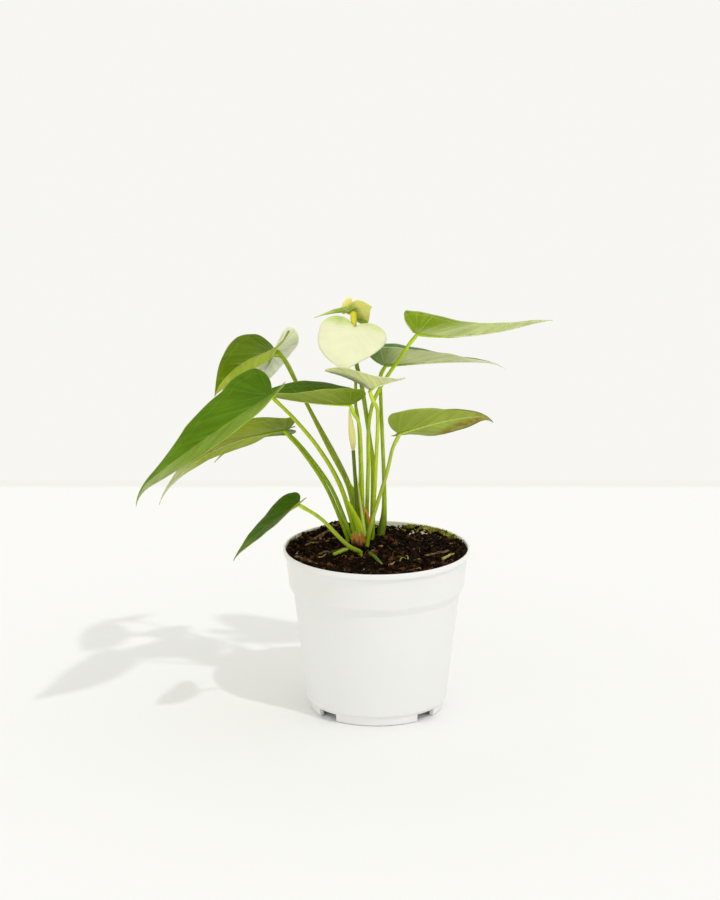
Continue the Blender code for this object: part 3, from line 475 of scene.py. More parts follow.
# Where a stalk is seen to enter the soil, if its foot is hidden by others
SEEN_FEET = {"leaf_lowest": (-10.5, -14.0, 107.5)}

CROWN_GREEN = (132, 160, 12)


@dataclass
class Tones:
    """Screen colours of a leaf: lobes, middle and tip of each side, then veins and stalk.

    The tints for the two halves paint sheen and light: they make the left or the right half,
    on the side the camera sees, paler or darker than the other. A slant carries
    the lobes' tone along the margin. The sheath at the foot is wider by a share of the
    stalk, up to its top in millimetres.
    """

    upper: tuple
    under: tuple
    vein: tuple
    stalk: tuple
    sheen_halves: tuple = ((1.0, 1.0, 1.0), (1.0, 1.0, 1.0))
    seen_from_above: bool = False
    slant: float = 0.0
    brown: bool = False
    foot: tuple = CROWN_GREEN
    sheath: float = 0.12
    sheath_top: float = 13.0


LEAF_TONES = {
    "leaf_front_left": Tones(
        upper=((72, 108, 14), (84, 122, 18), (110, 138, 52)),
        under=((164, 186, 66), (172, 192, 76), (182, 198, 92)),
        vein=(150, 176, 84), stalk=(172, 190, 44),
        sheen_halves=((2.3, 1.62, 5.6), (1.08, 1.03, 1.2)), foot=(150, 184, 36), sheath=0.45,
        seen_from_above=True),
    "leaf_upper_left": Tones(
        upper=((92, 116, 6), (102, 126, 8), (118, 140, 22)),
        under=((170, 182, 100), (180, 190, 118), (190, 198, 132)),
        vein=(176, 186, 110), stalk=(148, 168, 34), sheen_halves=((2.15, 1.75, 8.0), (0.74, 0.82, 0.2)),
        seen_from_above=True),
    "leaf_behind_left": Tones(
        upper=((196, 206, 146), (204, 212, 160), (206, 212, 160)),
        under=((236, 240, 204), (238, 241, 214), (236, 238, 216)),
        vein=(238, 240, 222), stalk=(158, 172, 80)),
    "leaf_low_left": Tones(
        upper=((84, 112, 8), (100, 128, 14), (186, 190, 136)),
        under=((98, 124, 2), (142, 158, 36), (232, 230, 196)),
        vein=(182, 192, 110), stalk=(152, 176, 28), sheen_halves=((1.0, 1.0, 1.0), (1.25, 1.25, 1.25))),
    "leaf_small_left": Tones(
        upper=((70, 92, 20), (100, 124, 30), (140, 150, 34)),
        under=((120, 138, 60), (140, 158, 50), (176, 160, 50)),
        vein=(170, 180, 110), stalk=(146, 174, 44)),
    "leaf_centre_left": Tones(
        upper=((66, 100, 16), (72, 106, 20), (108, 132, 44)),
        under=((112, 140, 16), (143, 162, 62), (180, 190, 120)),
        vein=(190, 200, 100), stalk=(184, 206, 44)),
    "leaf_centre": Tones(
        upper=((165, 188, 90), (186, 203, 112), (208, 214, 150)),
        under=((255, 255, 214), (224, 230, 152), (226, 226, 200)),
        vein=(232, 238, 190), stalk=(190, 208, 48)),
    "leaf_top_right": Tones(
        upper=((150, 176, 46), (166, 186, 70), (205, 214, 130)),
        under=((144, 174, 4), (204, 217, 140), (204, 213, 160)),
        vein=(226, 232, 184), stalk=(182, 204, 46), slant=0.45),
    "leaf_middle_right": Tones(
        upper=((74, 108, 42), (84, 118, 52), (140, 158, 104)),
        under=((100, 134, 50), (220, 227, 168), (246, 246, 232)),
        vein=(230, 234, 200), stalk=(160, 184, 40), foot=(84, 104, 12), sheath=0.9, sheath_top=27.0),
    "leaf_low_right": Tones(
        upper=((140, 162, 58), (157, 173, 70), (174, 174, 93)),
        under=((149, 172, 62), (160, 178, 72), (176, 180, 97)),
        vein=(180, 192, 100), stalk=(176, 192, 74),
        sheen_halves=((1.1, 1.1, 1.1), (1.0, 1.0, 1.0)), brown=True),
    "leaf_lowest": Tones(
        upper=((54, 88, 4), (62, 96, 8), (104, 128, 30)),
        under=((140, 155, 80), (150, 162, 90), (160, 170, 100)),
        vein=(140, 160, 76), stalk=(180, 202, 60)),
}

# Screen colours of the foot, the middle and the top of each stem, sheath and stub
STEM_TONES = {
    "flower_stalk": (CROWN_GREEN, (144, 168, 34), (226, 216, 60)),
    "young_stem": (CROWN_GREEN, (146, 170, 34), (156, 176, 50)),
    "bud_stalk": ((82, 104, 14), (94, 112, 20), (98, 112, 24)),
    "knob": ((206, 204, 70), (206, 204, 70), (206, 204, 70)),
    "sheath_pointed": ((128, 156, 14), (132, 164, 14), (150, 170, 50)),
    "sheath_pale": ((176, 192, 84), (196, 208, 110), (210, 216, 140)),
    "sheath_dry": ((196, 120, 50), (214, 130, 54), (196, 120, 60)),
    "sheath_broad": ((180, 188, 56), (170, 194, 36), (166, 186, 46)),
    "stub_left": ((130, 160, 30), (140, 170, 40), (120, 110, 40)),
    "stub_right": ((84, 108, 12), (92, 116, 16), (130, 130, 40)),
}
# Screen colours of each petal, of its lobes and of its veins, and where the lobes' colour fades
PETAL_TONES = {
    "cream_spathe": ((240, 240, 205), (184, 214, 84), (244, 244, 220), (-0.2, 0.06)),
    "cream_spathe_back": ((236, 238, 196), (205, 216, 124), (240, 240, 210), (-0.2, 0.1)),
    "green_spathe": ((240, 232, 132), (104, 148, 4), (236, 236, 150), (0.12, 0.5)),
    "green_spathe_back": ((242, 234, 140), (110, 152, 6), (230, 228, 136), (0.12, 0.5)),
    "sliver_green": ((212, 218, 124), (120, 150, 24), (214, 220, 136), (0.3, 0.95)),
    "bud_cream": ((242, 236, 152), (164, 176, 56), (244, 240, 184), (-0.05, 0.25)),
}


def screen(red, green, blue):
    """Light values for shaders of a colour given as it looks on a screen, from 0 to 255."""
    values = (c / 255 for c in (red, green, blue))
    return tuple(c / 12.92 if c <= 0.04045 else ((c + 0.055) / 1.055) ** 2.4 for c in values)


# Mesh tools

def placed(point):
    """A point in millimetres around the pot's axis, as a place in the frame."""
    return Vector(point) * MM + POT_AXIS


def add_object(name, data):
    made = bpy.data.objects.new(name, data)
    bpy.context.scene.collection.objects.link(made)
    return made


def new_piece(name, points, faces, finishes=(), smooth=True):
    mesh = bpy.data.meshes.new(name)
    mesh.from_pydata([placed(p) for p in points], [], faces)
    for finish in finishes:
        mesh.materials.append(finish)
    if smooth:
        mesh.shade_smooth()
    return add_object(name, mesh)


def loose(piece):
    """A piece of the dressing that no solid stands for."""
    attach(piece, "root")


def stand_in(piece, node):
    """A finer piece in place of a solid."""
    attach(piece, "root")
    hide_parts(node)


def ring(radius, count, start=0.0):
    """Places evenly round the axis."""
    angles = [start + 2 * math.pi * k / count for k in range(count)]
    return [(radius * math.cos(angle), radius * math.sin(angle)) for angle in angles]


def grid_faces(rows, columns, around=True, turned_over=False):
    """Faces between rows of points; around joins the last column to the first."""
    faces = []
    for i in range(rows - 1):
        for k in range(columns if around else columns - 1):
            low, high = i * columns, (i + 1) * columns
            n = (k + 1) % columns
            face = (low + k, low + n, high + n, high + k)
            faces.append((face[0], face[3], face[2], face[1]) if turned_over else face)
    return faces


def rod_faces(rows, columns):
    """Both ends and the sides of a closed rod."""
    last = (rows - 1) * columns
    ends = [tuple(range(columns - 1, -1, -1)), tuple(range(last, last + columns))]
    return ends + grid_faces(rows, columns)


def shifted(faces, start):
    return [tuple(start + corner for corner in face) for face in faces]


def set_uv(mesh, layer_name, per_corner):
    layer = mesh.uv_layers.new(name=layer_name)
    layer.data.foreach_set("uv", np.asarray(per_corner, dtype=np.float32).ravel())


def settle(piece):
    """Apply the modifiers of a piece to its mesh."""
    graph = bpy.context.evaluated_depsgraph_get()
    mesh = bpy.data.meshes.new_from_object(piece.evaluated_get(graph), depsgraph=graph)
    piece.modifiers.clear()
    piece.data = mesh
    return piece


def thin_skin(piece, thickness, back_finish=0):
    """Give a surface its thickness; its back and rim may take another finish."""
    skin = piece.modifiers.new("thickness", "SOLIDIFY")
    skin.thickness = thickness * MM
    skin.offset = 0.0
    skin.material_offset = back_finish
    skin.material_offset_rim = back_finish
    return settle(piece)


def merge(name, parts):
    """One piece out of several; each keeps its own finishes."""
    finishes = []
    shape = bmesh.new()
    for part in parts:
        places = []
        for finish in part.data.materials:
            if finish not in finishes:
                finishes.append(finish)
            places.append(finishes.index(finish))
        before = len(shape.faces)
        shape.from_mesh(part.data)
        shape.faces.ensure_lookup_table()
        for face in shape.faces[before:]:
            face.material_index = places[face.material_index]
    mesh = bpy.data.meshes.new(name)
    shape.to_mesh(mesh)
    shape.free()
    for finish in finishes:
        mesh.materials.append(finish)
    for part in parts:
        bpy.data.objects.remove(part, do_unlink=True)
    return add_object(name, mesh)


def smooth_path(points, pieces):
    """Rounded run through the points, cut into so many pieces between each two of them."""
    p = [np.array(q, float) for q in points]
    p = [2 * p[0] - p[1]] + p + [2 * p[-1] - p[-2]]
    run = []
    for a, b, c, d in zip(p, p[1:], p[2:], p[3:]):
        for i in range(pieces):
            t = i / pieces
            run.append(0.5 * (2 * b + (c - a) * t + (2 * a - 5 * b + 4 * c - d) * t ** 2
                              + (3 * b - a - 3 * c + d) * t ** 3))
    run.append(p[-2])
    return run


def run_lengths(points):
    """Distance along the points from the first to each of them."""
    steps = np.linalg.norm(np.diff(np.array(points, float), axis=0), axis=1)
    return np.concatenate([[0.0], np.cumsum(steps)])


def tube(name, points, radii, finish, sides=14, wobble=0.0, seed=0):
    """Round stem along the points with domed ends. Its uv runs along and around it."""
    p = [np.array(q, float) for q in points]
    along = [p[min(i + 1, len(p) - 1)] - p[max(i - 1, 0)] for i in range(len(p))]
    along = [t / max(np.linalg.norm(t), TINY) for t in along]
    shares = run_lengths(p)
    shares /= shares[-1]
    foot, top = [], []
    for turn in DOME_TURNS:
        reach, width = math.sin(math.radians(turn)), math.cos(math.radians(turn))
        foot.append((p[0] - along[0] * radii[0] * reach, radii[0] * width, along[0], 0.0))
        top.insert(0, (p[-1] + along[-1] * radii[-1] * reach, radii[-1] * width, along[-1], 1.0))
    side = np.cross(along[0], (0.0, 1.0, 0.2))
    corners, uv = [], []
    for middle, radius, direction, share in foot + list(zip(p, radii, along, shares)) + top:
        side = side - direction * side.dot(direction)
        side = side / np.linalg.norm(side)
        other = np.cross(direction, side)
        for k in range(sides):
            angle = 2 * math.pi * k / sides
            reach = radius
            if wobble:
                place = Vector(middle * 0.11) + Vector((seed + math.cos(angle), math.sin(angle), 0))
                reach *= 1 + wobble * noise.noise(place)
            corners.append(middle + reach * (math.cos(angle) * side + math.sin(angle) * other))
            uv.append((share, k / sides))
    faces = rod_faces(len(corners) // sides, sides)
    piece = new_piece(name, corners, faces, [finish])
    corner_uv = [uv[i] for face in faces for i in face]
    set_uv(piece.data, "grid", corner_uv)
    set_uv(piece.data, "place", [(share, 0.0) for share, _ in corner_uv])
    return piece


# Leaf shape

def rows_at(x, run, rows):
    """Rows of vectors read at places along the run."""
    return np.stack([np.interp(x, run, rows[:, k]) for k in range(3)], -1)


def blade_frame(leaf):
    """Midrib points with its direction, its left side and its upper side, from lobes to tip."""
    run = np.linspace(-0.45, 1.02, 148) * leaf.length
    ahead = np.clip(run / leaf.length, 0, None)
    pitch = np.radians(leaf.pitch + leaf.bend * ahead ** leaf.bend_power
                       + leaf.tip_droop * np.clip((ahead - 0.8) / 0.2, 0, 1.1) ** 1.5)
    heading = np.radians(leaf.heading + leaf.sweep * ahead)
    roll = np.radians(leaf.roll + leaf.twist * ahead)[:, None]
    along = np.stack([np.cos(pitch) * np.cos(heading), np.cos(pitch) * np.sin(heading),
                      np.sin(pitch)], 1)
    steps = (along[1:] + along[:-1]) / 2 * (run[1] - run[0])
    middle = np.vstack([np.zeros(3), np.cumsum(steps, 0)])
    middle = middle - rows_at(0.0, run, middle) + np.array(leaf.junction)
    level = np.stack([-np.sin(heading), np.cos(heading), 0 * heading], 1)
    left = level * np.cos(roll) + np.cross(along, level) * np.sin(roll)
    return run, middle, along, left, np.cross(along, left)


def blade_points(leaf, flat):
    """Lay flat blade points (along, to the left) on the bent, folded and curled leaf."""
    run, middle, along, left, upper = blade_frame(leaf)
    x, y = flat[..., 0], flat[..., 1]

    def pick(pair):
        return np.where(y >= 0, pair[0], pair[1])

    fold = np.radians(pick(leaf.fold) + pick(leaf.fold_change) * np.clip(x / leaf.length, 0, 1))
    ripple = np.cos(2 * np.pi * (1.2 * x / leaf.length + pick(leaf.wave_start)))
    curl = np.radians(pick(leaf.curl) + pick(leaf.wave) * ripple)
    curl = np.where(np.abs(curl) < 1e-3, 1e-3, curl) / pick(leaf.half_width)
    turned = fold + curl * np.abs(y)
    out = (np.sin(turned) - np.sin(fold)) / curl
    rise = (np.cos(fold) - np.cos(turned)) / curl
    behind = np.clip(-x, 0, None)
    lift = np.radians(pick(leaf.lobe_lift)) * behind / (0.3 * leaf.length)
    return (rows_at(x, run, middle) + (np.sign(y) * out)[..., None] * rows_at(x, run, left)
            + (rise + behind * np.sin(lift))[..., None] * rows_at(x, run, upper)
            + (behind * (1 - np.cos(lift)))[..., None] * rows_at(x, run, along))


def half_outline(leaf, columns):
    """Points of the half blade's edge at even steps, from the notch to the tip, and their steps."""
    outline = HALF_PETAL if leaf.petal else HALF_BLADE
    fine = np.array(smooth_path([(a, b, 0.0) for a, b in outline], 12))[:, :2]
    run = np.hypot(np.diff(fine[:, 0]), 0.32 * np.diff(fine[:, 1]))
    run = np.concatenate([[0.0], np.cumsum(run)]) / run.sum()
    t = np.linspace(0.0, 1.0, columns + 1)
    return np.stack([np.interp(t, run, fine[:, 0]), np.interp(t, run, fine[:, 1])], 1), t


def blade_relief(leaf, t, share, near_tip, k, ripple, seed):
    """How far the blade stands out: quilting between veins, a groove and a waved margin."""
    fade = np.sin(np.pi * share) ** 0.7
    ends = np.sin(np.pi * t)[:, None]
    quilt = PETAL_QUILT if leaf.petal else LEAF_QUILT
    quilt = quilt * np.cos(2 * np.pi * VEIN_COUNT * t)[:, None] * fade * near_tip
    groove = np.exp(-((share - GROOVE_ROW) / GROOVE_WIDTH) ** 2) * np.clip(ends * 3, 0, 1)
    edge = share ** 5 * np.clip(ends * 2, 0, 1)
    waves = (np.sin(2 * np.pi * (3.3 * t + 0.37 * seed + 0.5 * k))
             + 0.6 * np.sin(2 * np.pi * (7.1 * t + 0.61 * seed)))
    lift = ripple * edge * waves[:, None] - (quilt + GROOVE_DEPTH * groove) * near_tip
    lift[:, 0] = 0.0
    lift[0] = 0.0
    lift[-1] = 0.0
    return lift


def blade(leaf, upper_finish, under_finish, columns=LEAF_COLUMNS, rows=LEAF_ROWS, ripple=0.1,
          seed=0, thickness=LEAF_THICKNESS):
    """Thin leaf blade whose mesh columns follow the side veins from midrib to margin."""
    half, t = half_outline(leaf, columns)
    ahead, aside = half[:, 0], half[:, 1]
    start = np.clip(ahead - VEIN_SWEEP * aside, 0, 1)
    start[-1] = 1.0
    share = (np.arange(rows + 1) / rows) ** ROW_POWER
    bow = -VEIN_BOW * np.sin(np.pi * share) * (np.clip(start * 6, 0, 1)
                                               * np.clip(aside, 0, 1))[:, None]
    near_tip = np.clip((1 - ahead) * 4, 0, 1)[:, None]
    quads = grid_faces(columns + 1, rows + 1, around=False, turned_over=True)
    vein_at = [(phase, row) for phase in t * VEIN_COUNT for row in share]
    points, faces, vein_uv, place_uv = [], [], [], []
    for k, way in enumerate((1, -1)):
        edge = np.where(ahead < 0, ahead * leaf.lobe[k], ahead)
        edge[0] = -leaf.sinus
        width = leaf.half_width[k] * np.interp(ahead, MARGIN_STATIONS, leaf.margin[k])
        width = width * np.exp(-leaf.taper[k] * np.clip(ahead - 0.1, 0, None))
        x = (start[:, None] + (edge - start)[:, None] * share + bow) * leaf.length
        y = (aside * width * way)[:, None] * share
        y = np.where(np.abs(y) < TINY, way * TINY, y)
        grid = blade_points(leaf, np.stack([x, y], -1))
        normal = np.cross(np.gradient(grid, axis=0), np.gradient(grid, axis=1)) * -way
        normal /= np.maximum(np.linalg.norm(normal, axis=2), TINY)[..., None]
        lift = blade_relief(leaf, t, share, near_tip, k, ripple, seed)
        turned = [quad[::way] for quad in quads]
        place_at = [(place, float(k)) for place in (x / leaf.length).ravel()]
        vein_uv += [vein_at[corner] for quad in turned for corner in quad]
        place_uv += [place_at[corner] for quad in turned for corner in quad]
        faces += shifted(turned, len(points))
        points += list((grid + lift[..., None] * normal).reshape(-1, 3))
    piece = new_piece(leaf.name + "_blade", points, faces, [upper_finish, under_finish])
    set_uv(piece.data, "grid", vein_uv)
    set_uv(piece.data, "place", place_uv)
    shape = bmesh.new()
    shape.from_mesh(piece.data)
    bmesh.ops.remove_doubles(shape, verts=shape.verts, dist=0.00001)
    bmesh.ops.dissolve_degenerate(shape, edges=shape.edges, dist=0.000005)
    shape.to_mesh(piece.data)
    shape.free()
    return thin_skin(piece, thickness, back_finish=1)


def midrib(leaf, finish):
    """Rib standing out under the blade, thinning towards the tip."""
    run, middle, _, _, upper = blade_frame(leaf)
    shares = np.linspace(0.0, 0.96, 30)
    radii = RIB_RADIUS + (RIB_TIP_RADIUS - RIB_RADIUS) * shares ** 0.75
    x = shares * leaf.length
    points = rows_at(x, run, middle) - rows_at(x, run, upper) * (radii - RIB_SUNK)[:, None]
    return tube(leaf.name + "_rib", points, radii, finish, sides=10)


def rooted_path(points):
    """Rounded run of a stem that starts upright in its hole in the soil."""
    x, y, _ = points[0]
    hidden = [np.array((x, y, STEM_BOTTOM + STEM_STEP * i)) for i in range(4)]
    return hidden + smooth_path(points, 9)


def stem_radii(points, foot_radius, top_radius, sheath, sheath_top=Tones.sheath_top,
               knuckle=KNUCKLE):
    """Radii along a stem: a wider sheath at the foot and a swollen knuckle under the blade."""
    run = run_lengths(points)
    radii = foot_radius + (top_radius - foot_radius) * run / run[-1]
    radii *= 1 + sheath * np.exp(-np.maximum(run - sheath_top, 0) / SHEATH_FADE)
    below = (run[-1] - run - KNUCKLE_PLACE) / KNUCKLE_WIDTH
    return radii * (1 + knuckle * np.exp(-below ** 2))


def leaf_stalk(leaf, finish, tones, seed):
    run, _, _, _, upper = blade_frame(leaf)
    top = np.array(leaf.junction) - rows_at(0.0, run, upper) * (STALK_TOP_RADIUS - 0.1)
    foot = SEEN_FEET.get(leaf.name, leaf.stalk[0])
    way = rooted_path([foot, *leaf.stalk[1:], tuple(top)])
    radii = stem_radii(way, leaf.foot_radius * FOOT_SHARE, STALK_TOP_RADIUS * 0.95, tones.sheath,
                       tones.sheath_top)
    return tube(leaf.name + "_stalk", way, radii, finish, sides=16, wobble=0.06, seed=seed)


# Shader tools

class Shader:
    """A material or a group being wired up. A value is an output, a number or a colour."""

    def __init__(self, tree):
        self.tree = tree

    def put(self, value, socket):
        if isinstance(value, bpy.types.NodeSocket):
            self.tree.links.new(value, socket)
        elif socket.type == "RGBA":
            socket.default_value = (*value, 1.0)
        else:
            socket.default_value = value

    def node(self, kind, inputs=(), **settings):
        """New node with its settings, and its inputs as (name or place, value) pairs."""
        made = self.tree.nodes.new("ShaderNode" + kind)
        for key, value in settings.items():
            setattr(made, key, value)
        for key, value in inputs:
            self.put(value, made.inputs[key])
        return made

    def math(self, operation, a, b=0.5, clamp=False):
        inputs = ((0, a), (1, b))
        return self.node("Math", inputs, operation=operation, use_clamp=clamp).outputs[0]

    def plus(self, a, b):
        return self.math("ADD", a, b)

    def times(self, a, b):
        return self.math("MULTIPLY", a, b)

    def larger(self, a, b):
        return self.math("MAXIMUM", a, b)

    def apart(self, a, b):
        return self.math("ABSOLUTE", self.math("SUBTRACT", a, b))

    def from_whole(self, value):
        """How far a value is from the nearest whole number."""
        return self.math("SUBTRACT", 0.5, self.apart(self.math("FRACT", value), 0.5))

    def line(self, off, width):
        """Falls from 1 on a line to 0 at its width."""
        return self.math("SUBTRACT", 1.0, self.math("DIVIDE", off, width), clamp=True)

    def ramp(self, value, low, high, to_low=0.0, to_high=1.0):
        """Smooth step from one value to another while the given one goes from low to high."""
        inputs = (("Value", value), ("From Min", low), ("From Max", high), ("To Min", to_low),
                  ("To Max", to_high))
        return self.node("MapRange", inputs, interpolation_type="SMOOTHSTEP").outputs["Result"]

    def mix(self, share, a, b, blend="MIX"):
        inputs = ((0, share), (6, a), (7, b))
        return self.node("Mix", inputs, data_type="RGBA", blend_type=blend).outputs[2]

    def shade(self, colour, by):
        return self.mix(1.0, colour, by, "MULTIPLY")

    def here(self):
        return self.node("TexCoord").outputs["Object"]

    def axes(self, place):
        return self.node("SeparateXYZ", ((0, place),)).outputs

    def uv(self, layer):
        return self.node("UVMap", uv_map=layer).outputs["UV"]

    def noise(self, scale, detail=3.0, stretch=None, place=None):
        """Cloudy value over the piece, or over the place given."""
        place = place or self.here()
        if stretch:
            place = self.node("Mapping", (("Vector", place), ("Scale", stretch))).outputs["Vector"]
        inputs = (("Vector", place), ("Scale", scale), ("Detail", detail))
        return self.node("TexNoise", inputs).outputs["Fac"]

    def patches(self, scale, start, end, low=0.0, high=1.0, detail=3.0):
        inputs = (("Scale", scale), ("Detail", detail), ("From", start), ("To", end),
                  ("Low", low), ("High", high))
        return self.node("Group", inputs, node_tree=PATCHES).outputs["Value"]

    def bump(self, height, strength, distance):
        inputs = (("Height", height), ("Strength", strength), ("Distance", distance))
        return self.node("Bump", inputs).outputs["Normal"]

    def cover(self, **sockets):
        """Give the surface its colour, roughness or relief."""
        surface = self.tree.nodes["Principled BSDF"]
        for name, value in sockets.items():
            self.put(value, surface.inputs[name.replace("_", " ")])


def new_group(name, inputs, outputs):
    """Shader group with named number inputs and outputs."""
    tree = bpy.data.node_groups.new(name, "ShaderNodeTree")
    for item, value in inputs:
        socket = tree.interface.new_socket(item, in_out="INPUT", socket_type="NodeSocketFloat")
        socket.default_value = value
    for item in outputs:
        tree.interface.new_socket(item, in_out="OUTPUT", socket_type="NodeSocketFloat")
    return Shader(tree), tree.nodes.new("NodeGroupInput"), tree.nodes.new("NodeGroupOutput")


def patch_group():
    """Cloudy patches: goes softly from Low to High where the noise goes From one value To another."""
    inputs = (("Scale", 100.0), ("Detail", 3.0), ("From", 0.3), ("To", 0.7), ("Low", 0.0),
              ("High", 1.0))
    s, given, out = new_group("soft patches", inputs, ("Value",))
    scale, detail, *limits = [given.outputs[item] for item, _ in inputs]
    s.put(s.ramp(s.noise(scale, detail), *limits), out.inputs["Value"])
    return s.tree


def vein_group():
    """Masks of the side veins, of the vein along the margin, of the fine net and of the margin."""
    outputs = ("Veins", "Net", "Margin", "Row")
    s, given, out = new_group("leaf veins", (("Width", 0.03),), outputs)
    phase, row, _ = s.axes(s.uv("grid"))
    side = s.line(s.times(s.from_whole(phase), s.larger(row, 0.14)), given.outputs["Width"])
    side = s.times(side, s.ramp(row, 0.80, 0.93, 1.0, 0.0))
    sway = s.times(s.math("SINE", s.times(phase, 2 * math.pi)), 0.018)
    collective = s.times(s.line(s.apart(s.plus(row, sway), GROOVE_ROW), 0.022), 0.8)
    second = s.times(s.line(s.apart(row, 0.93), 0.014), 0.5)
    middle = s.ramp(row, 0.012, 0.045, 1.0, 0.0)
    veins = s.larger(s.larger(side, collective), s.larger(middle, second))
    small = s.times(s.from_whole(s.times(phase, 4.0)), s.larger(row, 0.2))
    cells = s.node("TexVoronoi", (("Vector", s.here()), ("Scale", 420.0)),
                   feature="DISTANCE_TO_EDGE")
    net = s.larger(s.times(s.ramp(small, 0.0, 0.10, 1.0, 0.0), 0.6),
                   s.ramp(cells.outputs["Distance"], 0.0, 0.12, 0.7, 0.0))
    for output, value in zip(outputs, (veins, net, s.ramp(row, 0.965, 0.995), row)):
        s.put(value, out.inputs[output])
    return s.tree


def new_material(name, roughness, specular=0.5, tint=(1.0, 1.0, 1.0), subsurface=0.0,
                 glow_radius=(1.0, 1.0, 1.0), glow_scale=0.001):
    made = bpy.data.materials.new(name)
    made.use_nodes = True
    s = Shader(made.node_tree)
    s.cover(Roughness=roughness, Specular_IOR_Level=specular, Specular_Tint=tint,
            Subsurface_Weight=subsurface, Subsurface_Radius=glow_radius,
            Subsurface_Scale=glow_scale)
    return made, s


# Finishes

def browned(s, base, veins, along, side):
    """Dry patches on the outer part of the left half, and a dead brown edge towards the tip."""
    row = veins.outputs["Row"]
    lower = s.times(s.times(row, s.math("SUBTRACT", 1.0, side)), 0.55)
    patch = s.times(s.ramp(s.plus(along, lower), 0.72, 1.02),
                    s.patches(140.0, 0.36, 0.60, 0.35, 1.0, detail=4.0))
    dead = s.times(s.ramp(along, 0.45, 0.7), s.ramp(row, 0.93, 0.97))
    return s.mix(dead, s.mix(patch, base, screen(144, 118, 54)), screen(104, 74, 32))


def leaf_skin(name, tones, sheen_halves, vein, roughness, relief, vein_share, net_share, brown=False,
              slant=0.0, glow=0.3):
    """Leaf surface: tones from the lobes to the tip, painted sheen on one half, painted light and
    shade in streaks along the veins, veins, a finer net and a paler margin.
    """
    made, s = new_material(name, roughness, specular=0.05, tint=(0.8, 1.0, 0.3), subsurface=glow,
                           glow_radius=(0.8, 1.0, 0.5), glow_scale=0.0003)
    veins = s.node("Group", (("Width", 0.024),), node_tree=VEINS)
    lobe, middle, tip = (screen(*tone) for tone in tones)
    along, side, _ = s.axes(s.uv("place"))
    start = s.math("SUBTRACT", along, s.times(veins.outputs["Row"], slant))
    base = s.mix(s.ramp(start, -0.12, 0.26 - 0.4 * slant), lobe, middle)
    base = s.mix(s.ramp(along, 0.55, 1.0), base, tip)
    # Painted sheen and light: one half of the seen side tinted paler or darker than the other
    base = s.shade(base, s.mix(s.ramp(side, 0.4, 0.6), *sheen_halves))
    base = s.shade(base, s.patches(45.0, 0.38, 0.66, 0.9, 1.06, detail=2.0))
    # Painted light and shade: soft lighter and darker streaks along the veins, as the quilted blade
    # would catch the light
    relief_light_streaks = s.noise(1.0, stretch=(3.4, 1.3, 1.0), place=s.uv("grid"))
    base = s.shade(base, s.ramp(relief_light_streaks, 0.3, 0.7, 0.88, 1.11))
    if brown:
        base = browned(s, base, veins, along, side)
    for mask, share in (("Net", net_share), ("Veins", vein_share), ("Margin", 0.4)):
        base = s.mix(s.times(veins.outputs[mask], share), base, screen(*vein))
    height = s.plus(s.times(veins.outputs["Veins"], relief),
                    s.times(veins.outputs["Net"], relief * 0.3))
    height = s.plus(height, s.times(s.noise(900.0, 2.0), 0.12))
    rough = s.patches(120.0, 0.3, 0.7, roughness - 0.05, roughness + 0.07, detail=2.0)
    s.cover(Base_Color=base, Roughness=rough, Normal=s.bump(height, 0.4, 0.00022))
    return made


def stalk_skin(name, foot, middle, top, roughness=0.42, shaded_side=0.5):
    """Smooth stem in three screen colours, with painted light and shade round it, lighter on one
    side and darker on the other, and with streaks and flecks.
    """
    made, s = new_material(name, roughness, specular=0.1, subsurface=0.15,
                           glow_radius=(0.8, 1.0, 0.3), glow_scale=0.0012)
    foot, middle, top = (screen(*tone) for tone in (foot, middle, top))
    along, around, _ = s.axes(s.uv("grid"))
    base = s.mix(s.ramp(along, 0.86, 1.0), s.mix(s.ramp(along, 0.16, 0.36), foot, middle), top)
    # Painted light and shade: one side of the stem lighter and the opposite side darker
    turn = s.times(s.math("SUBTRACT", around, shaded_side), 2 * math.pi)
    base = s.shade(base, s.ramp(s.math("COSINE", turn), 0.1, 0.85, 1.12, 0.72))
    streak = s.noise(260.0, stretch=(3.0, 3.0, 0.12))
    base = s.shade(base, s.ramp(streak, 0.35, 0.7, 1.08, 0.88))
    base = s.mix(s.patches(700.0, 0.70, 0.76, 0.0, 0.5, detail=1.0), base, screen(112, 96, 40))
    rough = s.patches(90.0, 0.3, 0.7, roughness - 0.06, roughness + 0.08)
    s.cover(Base_Color=base, Roughness=rough, Normal=s.bump(streak, 0.25, 0.0002))
    return made


def petal_skin(name, vein_share=0.22):
    """Waxy petal, tinted at the lobes, with faint long veins."""
    colour, tint, vein, fade = PETAL_TONES[name]
    made, s = new_material(name, 0.45, specular=0.12, subsurface=0.35,
                           glow_radius=(1.0, 1.0, 0.5), glow_scale=0.0012)
    veins = s.node("Group", (("Width", 0.03),), node_tree=VEINS).outputs["Veins"]
    lobe = s.ramp(s.axes(s.uv("place"))[0], *fade, 1.0, 0.0)
    patchy = s.times(lobe, s.patches(160.0, 0.25, 0.75, 0.6, 1.0))
    base = s.mix(s.times(patchy, 0.9), screen(*colour), screen(*tint))
    base = s.shade(base, s.patches(70.0, 0.35, 0.7, 1.0, 0.94))
    base = s.mix(s.times(veins, vein_share), base, screen(*vein))
    s.cover(Base_Color=base, Roughness=s.patches(100.0, 0.3, 0.7, 0.38, 0.52),
            Normal=s.bump(s.plus(veins, s.noise(500.0)), 0.12, 0.0002))
    return made


